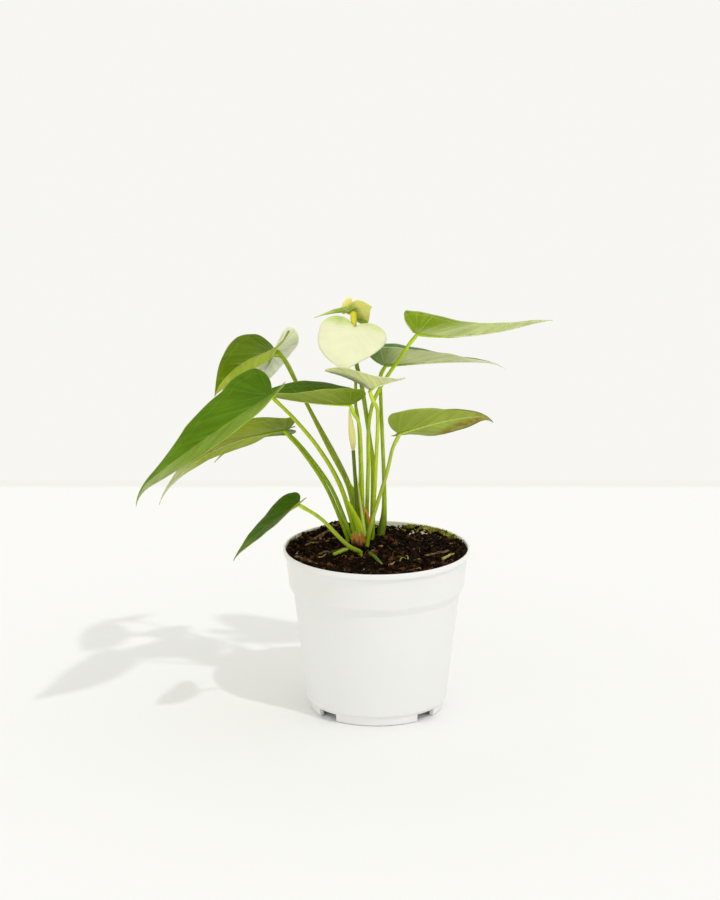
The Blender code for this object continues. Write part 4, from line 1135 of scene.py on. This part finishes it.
def crumb_skin(name, dark, light, roughness, scale=260.0, pit_shade=0.5, relief=0.8):
    """Rough natural stuff: two screen colours in patches with a coarse grain, and painted shade
    darkening its small pits.
    """
    made, s = new_material(name, roughness, specular=0.06)
    dark, light = screen(*dark), screen(*light)
    patch = s.patches(scale, 0.35, 0.72, detail=5.0)
    grain = s.noise(scale * 6)
    # Painted shade: spots of the grain darkened towards half the dark colour, as shade in small pits
    base = s.mix(s.ramp(grain, 0.5, 0.75, 0.0, pit_shade), s.mix(patch, dark, light),
                 tuple(c * 0.5 for c in dark))
    s.cover(Base_Color=base, Normal=s.bump(s.plus(grain, patch), relief, 0.0006))
    return made


def chip_skin():
    """Bark chips: each chip dark, reddish or, now and then, pale, with a fine grain."""
    made, s = new_material("bark_chips", 0.85, specular=0.08)
    each = s.node("NewGeometry").outputs["Random Per Island"]
    base = s.mix(s.ramp(each, 0.25, 0.7), screen(17, 10, 5), screen(54, 32, 15))
    base = s.mix(s.ramp(each, 0.72, 0.9), base, screen(96, 60, 34))
    base = s.mix(s.ramp(each, 0.95, 0.96), base, screen(160, 124, 80))
    grain = s.noise(1500.0)
    base = s.shade(base, s.ramp(grain, 0.3, 0.7, 1.25, 0.5))
    s.cover(Base_Color=base, Normal=s.bump(grain, 0.7, 0.0005))
    return made


def collar_skin():
    """Dry papery collar: green at its upper edge, then orange and brown, with upright grain."""
    made, s = new_material("papery_collar", 0.7, specular=0.1, subsurface=0.2,
                           glow_radius=(1.0, 0.6, 0.3))
    grain = s.noise(750.0, 4.0, stretch=(1.0, 1.0, 0.4))
    level = s.plus(s.axes(s.here())["Z"], s.times(grain, 0.005))
    base = s.mix(s.ramp(level, 0.1095, 0.1150), screen(58, 32, 16), screen(206, 136, 66))
    base = s.mix(s.ramp(level, 0.1155, 0.1180), base, screen(168, 182, 60))
    base = s.shade(base, s.ramp(grain, 0.3, 0.7, 0.7, 1.15))
    s.cover(Base_Color=base, Normal=s.bump(grain, 0.5, 0.0004))
    return made


def pot_skin():
    """White moulded plastic with faint turning lines and a few flecks of soil."""
    made, s = new_material("white_pot_plastic", 0.38, subsurface=0.1,
                           glow_radius=(1.0, 0.95, 0.85), glow_scale=0.002)
    cloud = s.times(s.patches(24.0, 0.35, 0.7), 0.3)
    flecks = s.times(s.patches(900.0, 0.72, 0.78, detail=2.0), 0.25)
    base = s.mix(cloud, (0.86, 0.86, 0.85), (0.82, 0.82, 0.80))
    lines = s.math("SINE", s.times(s.axes(s.here())["Z"], 5200.0))
    height = s.plus(s.times(lines, 0.15), s.noise(420.0))
    s.cover(Base_Color=s.mix(flecks, base, (0.55, 0.50, 0.42)),
            Roughness=s.patches(70.0, 0.3, 0.7, 0.33, 0.45, detail=4.0),
            Normal=s.bump(height, 0.12, 0.0002))
    return made


def inside_skin():
    """Inner wall of the pot: cream, and stained by the soil lower down and on the left."""
    made, s = new_material("inner_wall_plastic", 0.5)
    across, _, up = s.axes(s.here())
    left = s.ramp(across, POT_AXIS.x - 0.056, POT_AXIS.x - 0.02, 0.7, 0.0)
    low = s.ramp(up, 0.1018, 0.1034, 1.0, 0.0)
    stain = s.times(s.larger(low, left), s.patches(190.0, 0.36, 0.6, detail=4.0))
    s.cover(Base_Color=s.mix(stain, (0.96, 0.92, 0.74), (0.20, 0.13, 0.06)),
            Normal=s.bump(s.noise(500.0), 0.15, 0.0002))
    return made


PATCHES = patch_group()
VEINS = vein_group()
POT_WHITE = pot_skin()
POT_INSIDE = inside_skin()
SOIL_DARK = crumb_skin("wet_compost", (10, 5, 2), (46, 27, 11), 0.9)
CHIPS = chip_skin()
STRAW = crumb_skin("dry_fibre", (84, 56, 28), (160, 124, 76), 0.8, 400.0)
LEAF_LITTER = crumb_skin("yellow_litter", (150, 140, 50), (206, 196, 110), 0.7, 400.0)
MOSS = crumb_skin("moss_green", (66, 74, 14), (190, 178, 78), 0.85)
PERLITE = crumb_skin("perlite_white", (196, 190, 176), (236, 232, 220), 0.8, 600.0)
SCALE = collar_skin()
PLANK = crumb_skin("bark_plank", (62, 42, 26), (140, 112, 78), 0.8, 350.0, pit_shade=0.3)


# Pot

def turned(name, outline, segments, finishes):
    """Body of revolution from a closed (radius, height) outline that ends on the axis."""
    points, rows = [], []
    for radius, height in outline:
        if radius < TINY:
            rows.append([len(points)] * segments)
            points.append((0.0, 0.0, height))
        else:
            rows.append(range(len(points), len(points) + segments))
            points += [(x, y, height) for x, y in ring(radius, segments)]
    faces = []
    for lower, upper in zip(rows, rows[1:] + rows[:1]):
        for k in range(segments):
            n = (k + 1) % segments
            face = list(dict.fromkeys((lower[k], lower[n], upper[n], upper[k])))
            if len(face) > 2:
                faces.append(face)
    return new_piece(name, points, faces, finishes)


def rounded(outline, radius):
    """The outline with its corners cut into short arcs."""
    result = [outline[0]]
    for before, corner, after in zip(outline, outline[1:], outline[2:]):
        a, b, c = (np.array(q, float) for q in (before, corner, after))
        reach = min(radius, np.linalg.norm(a - b) * 0.45, np.linalg.norm(c - b) * 0.45)
        start = b + (a - b) / np.linalg.norm(a - b) * reach
        end = b + (c - b) / np.linalg.norm(c - b) * reach
        for t in (0.0, 0.33, 0.67, 1.0):
            result.append(tuple((1 - t) ** 2 * start + 2 * t * (1 - t) * b + t * t * end))
    result.append(outline[-1])
    return result


def notch_cutter(direction):
    """Wedge through the foot of the pot, from inside its ring to outside its wall."""
    turns = np.linspace(-0.5, 0.5, NOTCH_STEPS)
    points = []
    for height in (-CUTTER_REACH, NOTCH_HEIGHT):
        for radius in (FOOT_INNER_RADIUS - CUTTER_REACH, BODY_LOW_RADIUS + CUTTER_REACH):
            for turn in turns:
                angle = math.radians(direction + turn * NOTCH_WIDTH)
                points.append((radius * math.cos(angle), radius * math.sin(angle), height))
    n = len(turns)
    faces = [(0, n, 3 * n, 2 * n), (n - 1, 3 * n - 1, 4 * n - 1, 2 * n - 1)]
    for i in range(n - 1):
        near, far, near_top, far_top = i, n + i, 2 * n + i, 3 * n + i
        faces += [(near, near + 1, far + 1, far), (near_top, far_top, far_top + 1, near_top + 1),
                  (near, near_top, near_top + 1, near + 1), (far, far + 1, far_top + 1, far_top)]
    return new_piece("notch", points, faces, smooth=False)


def drain_cutter(x, y):
    """Rod through the floor of the pot."""
    points = [(x + across, y + away, height)
              for height in (FLOOR_BOTTOM - CUTTER_REACH, FLOOR_TOP + CUTTER_REACH)
              for across, away in ring(DRAIN_RADIUS, DRAIN_SIDES)]
    return new_piece("drain", points, rod_faces(2, DRAIN_SIDES), smooth=False)


def cut_out(piece, cutters):
    """Cut all the cutters out of the piece and take them away."""
    group = bpy.data.collections.new("cutters")
    bpy.context.scene.collection.children.link(group)
    for cutter in cutters:
        shape = bmesh.new()
        shape.from_mesh(cutter.data)
        bmesh.ops.recalc_face_normals(shape, faces=shape.faces)
        shape.to_mesh(cutter.data)
        shape.free()
        bpy.context.scene.collection.objects.unlink(cutter)
        group.objects.link(cutter)
    step = piece.modifiers.new("cut", "BOOLEAN")
    step.operation = "DIFFERENCE"
    step.operand_type = "COLLECTION"
    step.collection = group
    step.solver = "EXACT"
    settle(piece)
    for cutter in cutters:
        bpy.data.objects.remove(cutter, do_unlink=True)
    bpy.data.collections.remove(group)


def make_pot():
    """Shell with its notches and drain holes; its inner wall has a finish of its own."""
    outline = [
        (0.0, FLOOR_BOTTOM), (FOOT_INNER_RADIUS, FLOOR_BOTTOM), (FOOT_INNER_RADIUS, 0.0),
        (FOOT_RADIUS, 0.0), (FOOT_RADIUS + 0.5, LEDGE_Z - 0.8), (BODY_LOW_RADIUS, LEDGE_Z),
        (BODY_TOP_RADIUS, BODY_TOP_Z), (COLLAR_LOW_RADIUS, COLLAR_LOW_Z),
        (COLLAR_TOP_RADIUS, LIP_LOW_Z), (LIP_RADIUS, LIP_LOW_Z + 0.5), (LIP_RADIUS, POT_HEIGHT),
        (LIP_INNER_RADIUS, POT_HEIGHT), (LIP_INNER_RADIUS, LIP_LOW_Z + 0.6),
        (COLLAR_TOP_RADIUS - WALL, LIP_LOW_Z - 0.6), (COLLAR_LOW_RADIUS - WALL, COLLAR_LOW_Z),
        (BODY_TOP_RADIUS - WALL, BODY_TOP_Z), (BODY_LOW_RADIUS - WALL, FLOOR_TOP),
        (0.0, FLOOR_TOP),
    ]
    finishes = [POT_WHITE, POT_INSIDE]
    shell = turned("pot_shell", rounded(outline, CORNER_RADIUS), POT_SEGMENTS, finishes)
    drains = [(0.0, 0.0)] + ring(DRAIN_RING_RADIUS, 4, math.radians(45))
    cut_out(shell, [notch_cutter(direction) for direction in NOTCH_DIRECTIONS]
            + [drain_cutter(x, y) for x, y in drains])
    for face in shell.data.polygons:
        middle = (Vector(face.center) - POT_AXIS) / MM
        faces_in = face.normal.x * middle.x + face.normal.y * middle.y < 0
        over_floor = math.hypot(middle.x, middle.y) < BODY_LOW_RADIUS - 2.0
        above = FLOOR_TOP - 0.3 < middle.z < POT_HEIGHT - 0.2
        face.material_index = 1 if above and (faces_in or over_floor) else 0
    shell.data.set_sharp_from_angle(angle=math.radians(CREASE_ANGLE))
    stand_in(shell, "pot")


# Soil and what lies on it

def wall_inside(height):
    """Inner radius of the pot at a height."""
    heights = (FLOOR_TOP, BODY_TOP_Z, COLLAR_LOW_Z)
    radii = (BODY_LOW_RADIUS - WALL, BODY_TOP_RADIUS - WALL, COLLAR_LOW_RADIUS - WALL)
    return float(np.interp(height, heights, radii))


def soil_height(x, y):
    """Lumpy surface with mounds round the stems and at the back left, and a raised edge."""
    mounds = sum(rise * math.exp(-((x - mx) ** 2 + (y - my) ** 2) / spread)
                 for rise, mx, my, spread in SOIL_MOUNDS)
    rim = min(max((math.hypot(x, y) - RIM_START) / RIM_WIDTH, 0.0), 1.0) ** 2
    place = Vector((x * SOIL_LUMP_SCALE, y * SOIL_LUMP_SCALE, 3.1))
    lumps = noise.fractal(place, 0.9, 2.1, 4)
    return SOIL_LEVEL + mounds + RIM_RISE * rim + SOIL_LUMPS * lumps


def make_soil():
    points = []
    for i in range(SOIL_RINGS):
        for x, y in ring((SOIL_REACH - 0.1) * (i + 1) / SOIL_RINGS, SOIL_SPOKES):
            rough = noise.noise(Vector((x * SOIL_ROUGH_SCALE, y * SOIL_ROUGH_SCALE, 9.0)))
            points.append((x, y, soil_height(x, y) + SOIL_ROUGH * rough))
    bottom = FLOOR_TOP + SOIL_GAP
    for height in (COLLAR_LOW_Z, BODY_TOP_Z, bottom):
        points += [(x, y, height) for x, y in ring(wall_inside(height) - SOIL_GAP, SOIL_SPOKES)]
    faces = grid_faces(SOIL_RINGS + 3, SOIL_SPOKES, turned_over=True)
    top, last = len(points), len(points) - SOIL_SPOKES
    points += [(0.0, 0.0, soil_height(0.0, 0.0)), (0.0, 0.0, bottom)]
    for k in range(SOIL_SPOKES):
        n = (k + 1) % SOIL_SPOKES
        faces += [(top, k, n), (top + 1, last + n, last + k)]
    stand_in(new_piece("soil_bed", points, faces, [SOIL_DARK]), "soil")


def ball(levels):
    shape = bmesh.new()
    bmesh.ops.create_icosphere(shape, subdivisions=levels, radius=1.0)
    points = np.array([v.co[:] for v in shape.verts])
    faces = [tuple(v.index for v in f.verts) for f in shape.faces]
    shape.free()
    return points, faces


def lie(turn, tip, roll):
    """Turn about the upright axis after tipping about the other two."""
    return (Matrix.Rotation(turn, 3, "Z") @ Matrix.Rotation(tip, 3, "X")
            @ Matrix.Rotation(roll, 3, "Y"))


def scatter(name, finish, count, sizes, chance, where, levels=1, rough=0.35):
    """Many small lumps bedded on the soil, each a crushed ball turned its own way."""
    base, base_faces = ball(levels)
    points, faces = [], []
    for i in range(count):
        x, y = where(chance)
        size = [chance.uniform(*span) for span in sizes]
        dents = [noise.noise(Vector(b) * 1.7 + Vector((i * 3.1, 0, 0))) for b in base]
        lump = base * (1 + rough * np.array(dents))[:, None] * size
        tip, roll = (chance.uniform(-LUMP_TILT, LUMP_TILT) for _ in range(2))
        lump = lump @ np.array(lie(chance.uniform(0, 6.28), tip, roll)).T
        height = soil_height(x, y) - lump[:, 2].min() - LUMP_SUNK * size[2]
        faces += shifted(base_faces, len(points))
        points += list(lump + (x, y, height))
    loose(new_piece(name, points, faces, [finish], smooth=levels > 1))


def anywhere(chance):
    reach = (SOIL_REACH - LOOSE_GAP) * math.sqrt(chance.random())
    angle = chance.uniform(0, 2 * math.pi)
    return reach * math.cos(angle), reach * math.sin(angle)


def near_place(x, y, spread):
    """Chooser of places around (x, y) that stay on the soil."""
    def pick(chance):
        for _ in range(40):
            px, py = chance.gauss(x, spread), chance.gauss(y, spread)
            if math.hypot(px, py) < SOIL_REACH - HEAP_GAP:
                return px, py
        return x, y
    return pick


def along_wall(low, high, near, far):
    """Chooser of places beside the wall, between two directions and two distances."""
    def pick(chance):
        angle = math.radians(chance.uniform(low, high))
        reach = chance.uniform(near, far)
        return reach * math.cos(angle), reach * math.sin(angle)
    return pick


def chip_bed(name, count, sizes, tilt, chance, where):
    """Angular chips lying on the soil, each a crooked slab turned its own way."""
    box = [(x / 2, y / 2, z / 2) for z in (-1, 1) for x, y in ((-1, -1), (1, -1), (1, 1), (-1, 1))]
    sides = [(3, 2, 1, 0), (4, 5, 6, 7), (0, 1, 5, 4), (1, 2, 6, 5), (2, 3, 7, 6), (3, 0, 4, 7)]
    points, faces = [], []
    for _ in range(count):
        x, y = where(chance)
        size = [chance.uniform(*span) for span in sizes]
        turn = lie(chance.uniform(0, 6.28), chance.gauss(0, tilt), chance.gauss(0, tilt))
        place = Vector((x, y, soil_height(x, y) + size[2] * chance.uniform(0.1, 0.6)))
        faces += shifted(sides, len(points))
        for corner in box:
            crooked = [c * side * chance.uniform(0.6, 1.15) for c, side in zip(corner, size)]
            points.append(turn @ Vector(crooked) + place)
    loose(new_piece(name, points, faces, [CHIPS], smooth=False))


def fibres(name, finish, runs):
    """Thin curved strands lying on the soil, given by start, direction, length, bend and width."""
    parts = []
    for x, y, angle, length, bend, lift, radius in runs:
        points = []
        for t in np.linspace(0, 1, STRAND_STEPS):
            turn = angle + bend * t
            px = x + length * t * math.cos(turn)
            py = y + length * t * math.sin(turn)
            inward = min(1.0, (SOIL_REACH - STRAND_GAP) / math.hypot(px, py))
            px, py = px * inward, py * inward
            level = soil_height(px, py) + radius + STRAND_LIFT
            points.append((px, py, level + lift * math.sin(math.pi * t)))
        radii = np.linspace(radius, radius * 0.4, STRAND_STEPS)
        parts.append(tube("strand", points, radii, finish, sides=6))
    loose(merge(name, parts))


def make_planks():
    """Long flat pieces of bark, the longest across the mound at the back left."""
    points, faces = [], []
    for start, end, width in BARK_PLANKS:
        faces += shifted(rod_faces(PLANK_STEPS, len(PLANK_SECTION)), len(points))
        run = np.array(end) - np.array(start)
        across = np.array((run[1], -run[0])) / np.linalg.norm(run)
        for i, t in enumerate(np.linspace(0, 1, PLANK_STEPS)):
            x, y = np.array(start) + run * t
            half = width * (0.6 + 0.4 * math.sin(math.pi * t)) * (1 + 0.12 * math.sin(9 * t))
            level = soil_height(x, y) + PLANK_LIFT + 0.2 * math.sin(5 * i)
            points += [(x + across[0] * side * half, y + across[1] * side * half, level + rise)
                       for side, rise in PLANK_SECTION]
    loose(new_piece("bark_plank", points, faces, [PLANK], smooth=False))


def dress_soil():
    """All that lies on the soil; sizes are spans of length, width and height."""
    chance = random.Random(11)
    scatter("compost_crumbs", SOIL_DARK, 1700, ((0.5, 1.6), (0.4, 1.4), (0.4, 1.3)), chance,
            anywhere)
    chip_bed("bark_chips", 330, ((2.2, 7.0), (1.4, 3.4), (0.6, 1.6)), 0.5, chance, anywhere)
    chip_bed("bark_crumbs", 900, ((0.7, 2.4), (0.5, 1.4), (0.4, 1.1)), 0.7, chance, anywhere)
    chip_bed("mound_chips", 90, ((1.6, 4.6), (1.0, 2.4), (0.5, 1.6)), 0.6, chance,
             near_place(-24.0, 52.0, 5.0))
    chip_bed("bulb_chips", 60, ((1.4, 4.0), (1.0, 2.2), (0.6, 1.6)), 0.7, chance,
             near_place(3.0, 8.0, 3.4))
    chip_bed("red_chip", 6, ((4.5, 7.5), (2.0, 3.0), (0.8, 1.4)), 0.3, chance,
             near_place(7.3, 10.8, 3.0))
    make_planks()
    scatter("moss_tufts", MOSS, 380, ((0.4, 1.2), (0.35, 1.0), (0.5, 1.8)), chance,
            along_wall(26.0, 72.0, 54.0, 57.6), rough=0.6)
    scatter("moss_patch", MOSS, 90, ((0.35, 0.9), (0.3, 0.8), (0.3, 0.9)), chance,
            along_wall(32.0, 80.0, 49.0, 55.0), rough=0.6)
    scatter("pale_grit", PERLITE, 26, ((0.3, 0.7), (0.3, 0.6), (0.3, 0.6)), chance,
            along_wall(60.0, 100.0, 52.0, 57.4), rough=0.5)
    scatter("perlite_grains", PERLITE, 16, ((0.6, 1.3), (0.5, 1.1), (0.4, 0.9)), chance,
            near_place(28.5, 38.5, 3.2), levels=2)
    spans = ((0, 6.28), (3, 12), (-1.2, 1.2), (0.0, 1.2), (0.12, 0.26))
    strands = [(*anywhere(chance), *(chance.uniform(*span) for span in spans)) for _ in range(60)]
    fibres("dry_strands", STRAW, strands)
    fibres("yellow_litter", LEAF_LITTER, LITTER)


# Plant

def stem_skin(name, **more):
    return stalk_skin(name + "_skin", *STEM_TONES[name], **more)


def make_leaf(leaf, seed):
    """Blade, rib and stalk in one piece, each side of the blade with its own finish."""
    tones = LEAF_TONES[leaf.name]
    sheen_halves = [Tones.sheen_halves, Tones.sheen_halves]
    sheen_halves[0 if tones.seen_from_above else 1] = tones.sheen_halves
    upper = leaf_skin(leaf.name + "_upper", tones.upper, sheen_halves[0], tones.vein, 0.36, -1.0,
                      0.16, 0.04, glow=0.15)
    under = leaf_skin(leaf.name + "_under", tones.under, sheen_halves[1], tones.vein, 0.5, 1.0,
                      0.48, 0.12, brown=tones.brown, slant=tones.slant, glow=0.35)
    rib = stalk_skin(leaf.name + "_rib", tones.stalk, tones.vein, tones.vein)
    leans_far_left = leaf.junction[0] < leaf.stalk[0][0] - FAR_LEAN
    top = tuple(min(255.0, c * 1.1) for c in tones.stalk)
    stalk = stalk_skin(leaf.name + "_stalk", tones.foot, tones.stalk, top,
                       shaded_side=0.5 if leans_far_left else 0.0)
    parts = [blade(leaf, upper, under, ripple=LEAF_RIPPLE * leaf.length, seed=seed),
             midrib(leaf, rib), leaf_stalk(leaf, stalk, tones, seed)]
    stand_in(merge(leaf.name + "_grown", parts), leaf.name)


def make_stem(name, points, radius, top_share=0.85, sheath=0.1, tip_swell=0.0):
    way = rooted_path(points)
    radii = stem_radii(way, radius * FOOT_SHARE, radius * top_share, sheath, knuckle=0.0)
    shares = np.arange(len(radii)) / len(radii)
    radii *= 1 + tip_swell * np.clip((shares - 0.86) / 0.08, 0, 1)
    piece = tube(name + "_grown", way, radii, stem_skin(name), sides=18, wobble=0.05, seed=3)
    stand_in(piece, name)


def fine_run(run, pieces):
    """Rounded run through (place, radius) pairs: its points and their radii."""
    fine = smooth_path([(*place, radius) for place, radius in run], pieces)
    return [q[:3] for q in fine], [q[3] for q in fine]


def make_spadix(joint_finish):
    """Finger of tiny florets set in crossing spirals, on its short joint."""
    points, radii = fine_run(SPADIX, 10)
    gold = crumb_skin("spadix_gold", (255, 236, 128), (255, 246, 176), 0.6, 900.0, pit_shade=0.02,
                      relief=0.15)
    piece = tube("spadix_florets", points, radii, gold, sides=SPADIX_SIDES)
    rows = len(piece.data.vertices) // SPADIX_SIDES
    for corner in piece.data.vertices:
        row, column = divmod(corner.index, SPADIX_SIDES)
        right, left = (math.cos(2 * math.pi * (count * column / SPADIX_SIDES + turn * row))
                       for count, turn in FLORET_SPIRALS)
        if 3 < row < rows - 4:
            corner.co += corner.normal * FLORET_RELIEF * right * left * MM
    joint = tube("joint", SPADIX_JOINT, (1.1, 1.0, 1.3), joint_finish)
    stand_in(merge("spadix_florets", [piece, joint]), "spadix")


def make_bud():
    """Young spathe rolled into a spindle, with the edge of the roll running up it."""
    points, radii = fine_run(BUD, 10)
    piece = tube("bud_roll", points, radii, petal_skin("bud_cream"), sides=BUD_SIDES)
    for corner in piece.data.vertices:
        row, column = divmod(corner.index, BUD_SIDES)
        behind_edge = (column - 4 - row * BUD_ROLL) % BUD_SIDES
        if behind_edge < BUD_SIDES / 2:
            step = BUD_EDGE * (1 - 2 * behind_edge / BUD_SIDES) * min(1.0, row / 14)
            corner.co += corner.normal * step * MM
    stand_in(piece, "bud")


def make_sheath(name, run):
    """Pointed sheath along its path, cupped round the stems behind it."""
    fine = smooth_path(run, 8)
    points, grid = [], []
    for i, (x, y, z, half) in enumerate(fine):
        half = max(half, 0.1)
        for across in np.linspace(-1, 1, SHEATH_COLUMNS + 1):
            points.append((x + half * across, y + SHEATH_CUP * half * across ** 2, z))
            grid.append((i / (len(fine) - 1), 0.0))
    faces = grid_faces(len(fine), SHEATH_COLUMNS + 1, around=False)
    roughness = 0.7 if name == "sheath_dry" else 0.42
    piece = new_piece(name, points, faces, [stem_skin(name, roughness=roughness)])
    for layer in ("grid", "place"):
        set_uv(piece.data, layer, [grid[corner] for face in faces for corner in face])
    loose(thin_skin(piece, SHEATH_THICKNESS))


def make_crown():
    """Curled dry scale and the sheaths around the foot of the stems, and two root stubs."""
    points = []
    fine = smooth_path(CROWN_SCALE, 6)
    for i, (x, y, top) in enumerate(fine):
        low = soil_height(x, y) - 0.2
        rise = top + 0.7 * math.sin(i * 1.9) + 0.5 * math.sin(i * 0.8 + 1) - low
        for t in np.linspace(0, 1, SCALE_LEVELS + 1):
            points.append((x, y - 0.7 * t * t + 0.3 * math.sin(2.2 * t), low + rise * t))
    faces = grid_faces(len(fine), SCALE_LEVELS + 1, around=False, turned_over=True)
    piece = new_piece("crown_scale_curled", points, faces, [SCALE])
    stand_in(thin_skin(piece, SCALE_THICKNESS), "crown_scale")
    for name, run in SHEATHS.items():
        make_sheath(name, run)
    for name, run, radius in ROOT_STUBS:
        way = smooth_path(run, 8)
        radii = np.linspace(radius, radius * 0.75, len(way))
        piece = tube(name + "_root", way, radii, stem_skin(name), wobble=0.1, seed=7)
        stand_in(piece, name)


def make_flower():
    """Cream spathe, the small green one above it with its sliver, and the spadix."""
    petal = blade(SPATHE, petal_skin("cream_spathe"), petal_skin("cream_spathe_back"),
                  columns=56, rows=14, ripple=0.2, thickness=SPATHE_THICKNESS)
    petal.name = "spathe_petal"
    stand_in(petal, "spathe")
    hood = blade(UPPER_SPATHE, petal_skin("green_spathe", vein_share=0.5),
                 petal_skin("green_spathe_back"), columns=44, rows=10, thickness=HOOD_THICKNESS)
    sliver_green = petal_skin("sliver_green")
    sliver = blade(SLIVER, sliver_green, sliver_green, columns=44, rows=8,
                   thickness=HOOD_THICKNESS)
    knob_finish = stem_skin("knob")
    x, y, z = SLIVER.junction
    knob = tube("knob", [(x - 1, y, z), (x, y, z), (x + 1, y, z)], (0.9, 1.1, 0.9), knob_finish)
    stand_in(merge("upper_spathe_petal", [hood, sliver, knob]), "upper_spathe")
    make_spadix(knob_finish)


def make_plant():
    for seed, leaf in enumerate(LEAVES):
        make_leaf(leaf, seed)
    make_stem("flower_stalk", FLOWER_STALK, FLOWER_STALK_RADIUS, tip_swell=0.55)
    make_stem("young_stem", YOUNG_STEM, YOUNG_STEM_RADIUS, top_share=0.7)
    make_stem("bud_stalk", BUD_STALK, BUD_STALK_RADIUS, sheath=0.25)
    make_bud()
    make_flower()
    make_crown()


# Stage, light and camera

def make_stage():
    """Pale table whose far edge meets an equally pale wall, given by the light around; painted
    shade darkens the floor along that edge.
    """
    corners = [(-FLOOR_SIDE, -FLOOR_SIDE), (FLOOR_SIDE, -FLOOR_SIDE),
               (FLOOR_SIDE, FLOOR_FAR_EDGE), (-FLOOR_SIDE, FLOOR_FAR_EDGE)]
    made, s = new_material("studio_floor", 0.9, specular=0.1)
    edge = POT_AXIS.y + FLOOR_FAR_EDGE * MM
    # Painted shade: a darker strip along the far edge of the floor, where it meets the wall
    far_edge_shade = s.ramp(s.axes(s.here())["Y"], edge - 0.024, edge - 0.012)
    pale = s.mix(s.times(s.noise(0.6, 2.0), 0.2), (0.885, 0.885, 0.88), (0.872, 0.872, 0.868))
    s.cover(Base_Color=s.mix(far_edge_shade, pale, (0.82, 0.825, 0.80)))
    floor = new_piece("floor", [(x, y, FLOOR_LEVEL) for x, y in corners], [(0, 1, 2, 3)], [made],
                      smooth=False)


def make_lights():
    """Pale room all round, and a soft sun from the front right."""
    world = bpy.data.worlds.new("studio")
    world.use_nodes = True
    back = world.node_tree.nodes["Background"]
    back.inputs["Color"].default_value = (0.934, 0.928, 0.892, 1.0)
    back.inputs["Strength"].default_value = 1.0
    bpy.context.scene.world = world
    sun = bpy.data.lights.new("key_sun", "SUN")
    sun.energy = SUN_STRENGTH
    sun.angle = math.radians(SUN_WIDTH)
    holder = add_object("key_sun", sun)
    holder.location = placed(SUN_PLACE)
    away = -Vector(SUN_PLACE).normalized()
    holder.rotation_euler = away.to_track_quat("-Z", "Y").to_euler()


def make_camera():
    data = bpy.data.cameras.new("photo_camera")
    data.sensor_fit = "VERTICAL"
    data.sensor_height = SENSOR_HEIGHT
    data.lens = LENS
    data.clip_end = CAMERA_FAR_END
    camera = add_object("photo_camera", data)
    camera.location = placed(CAMERA_PLACE)
    camera.rotation_euler = (math.radians(90 - CAMERA_DIP), 0.0, 0.0)
    bpy.context.scene.camera = camera


make_camera()
make_pot()
make_soil()
dress_soil()
make_plant()
make_stage()
make_lights()
bpy.context.scene.view_settings.view_transform = "Standard"
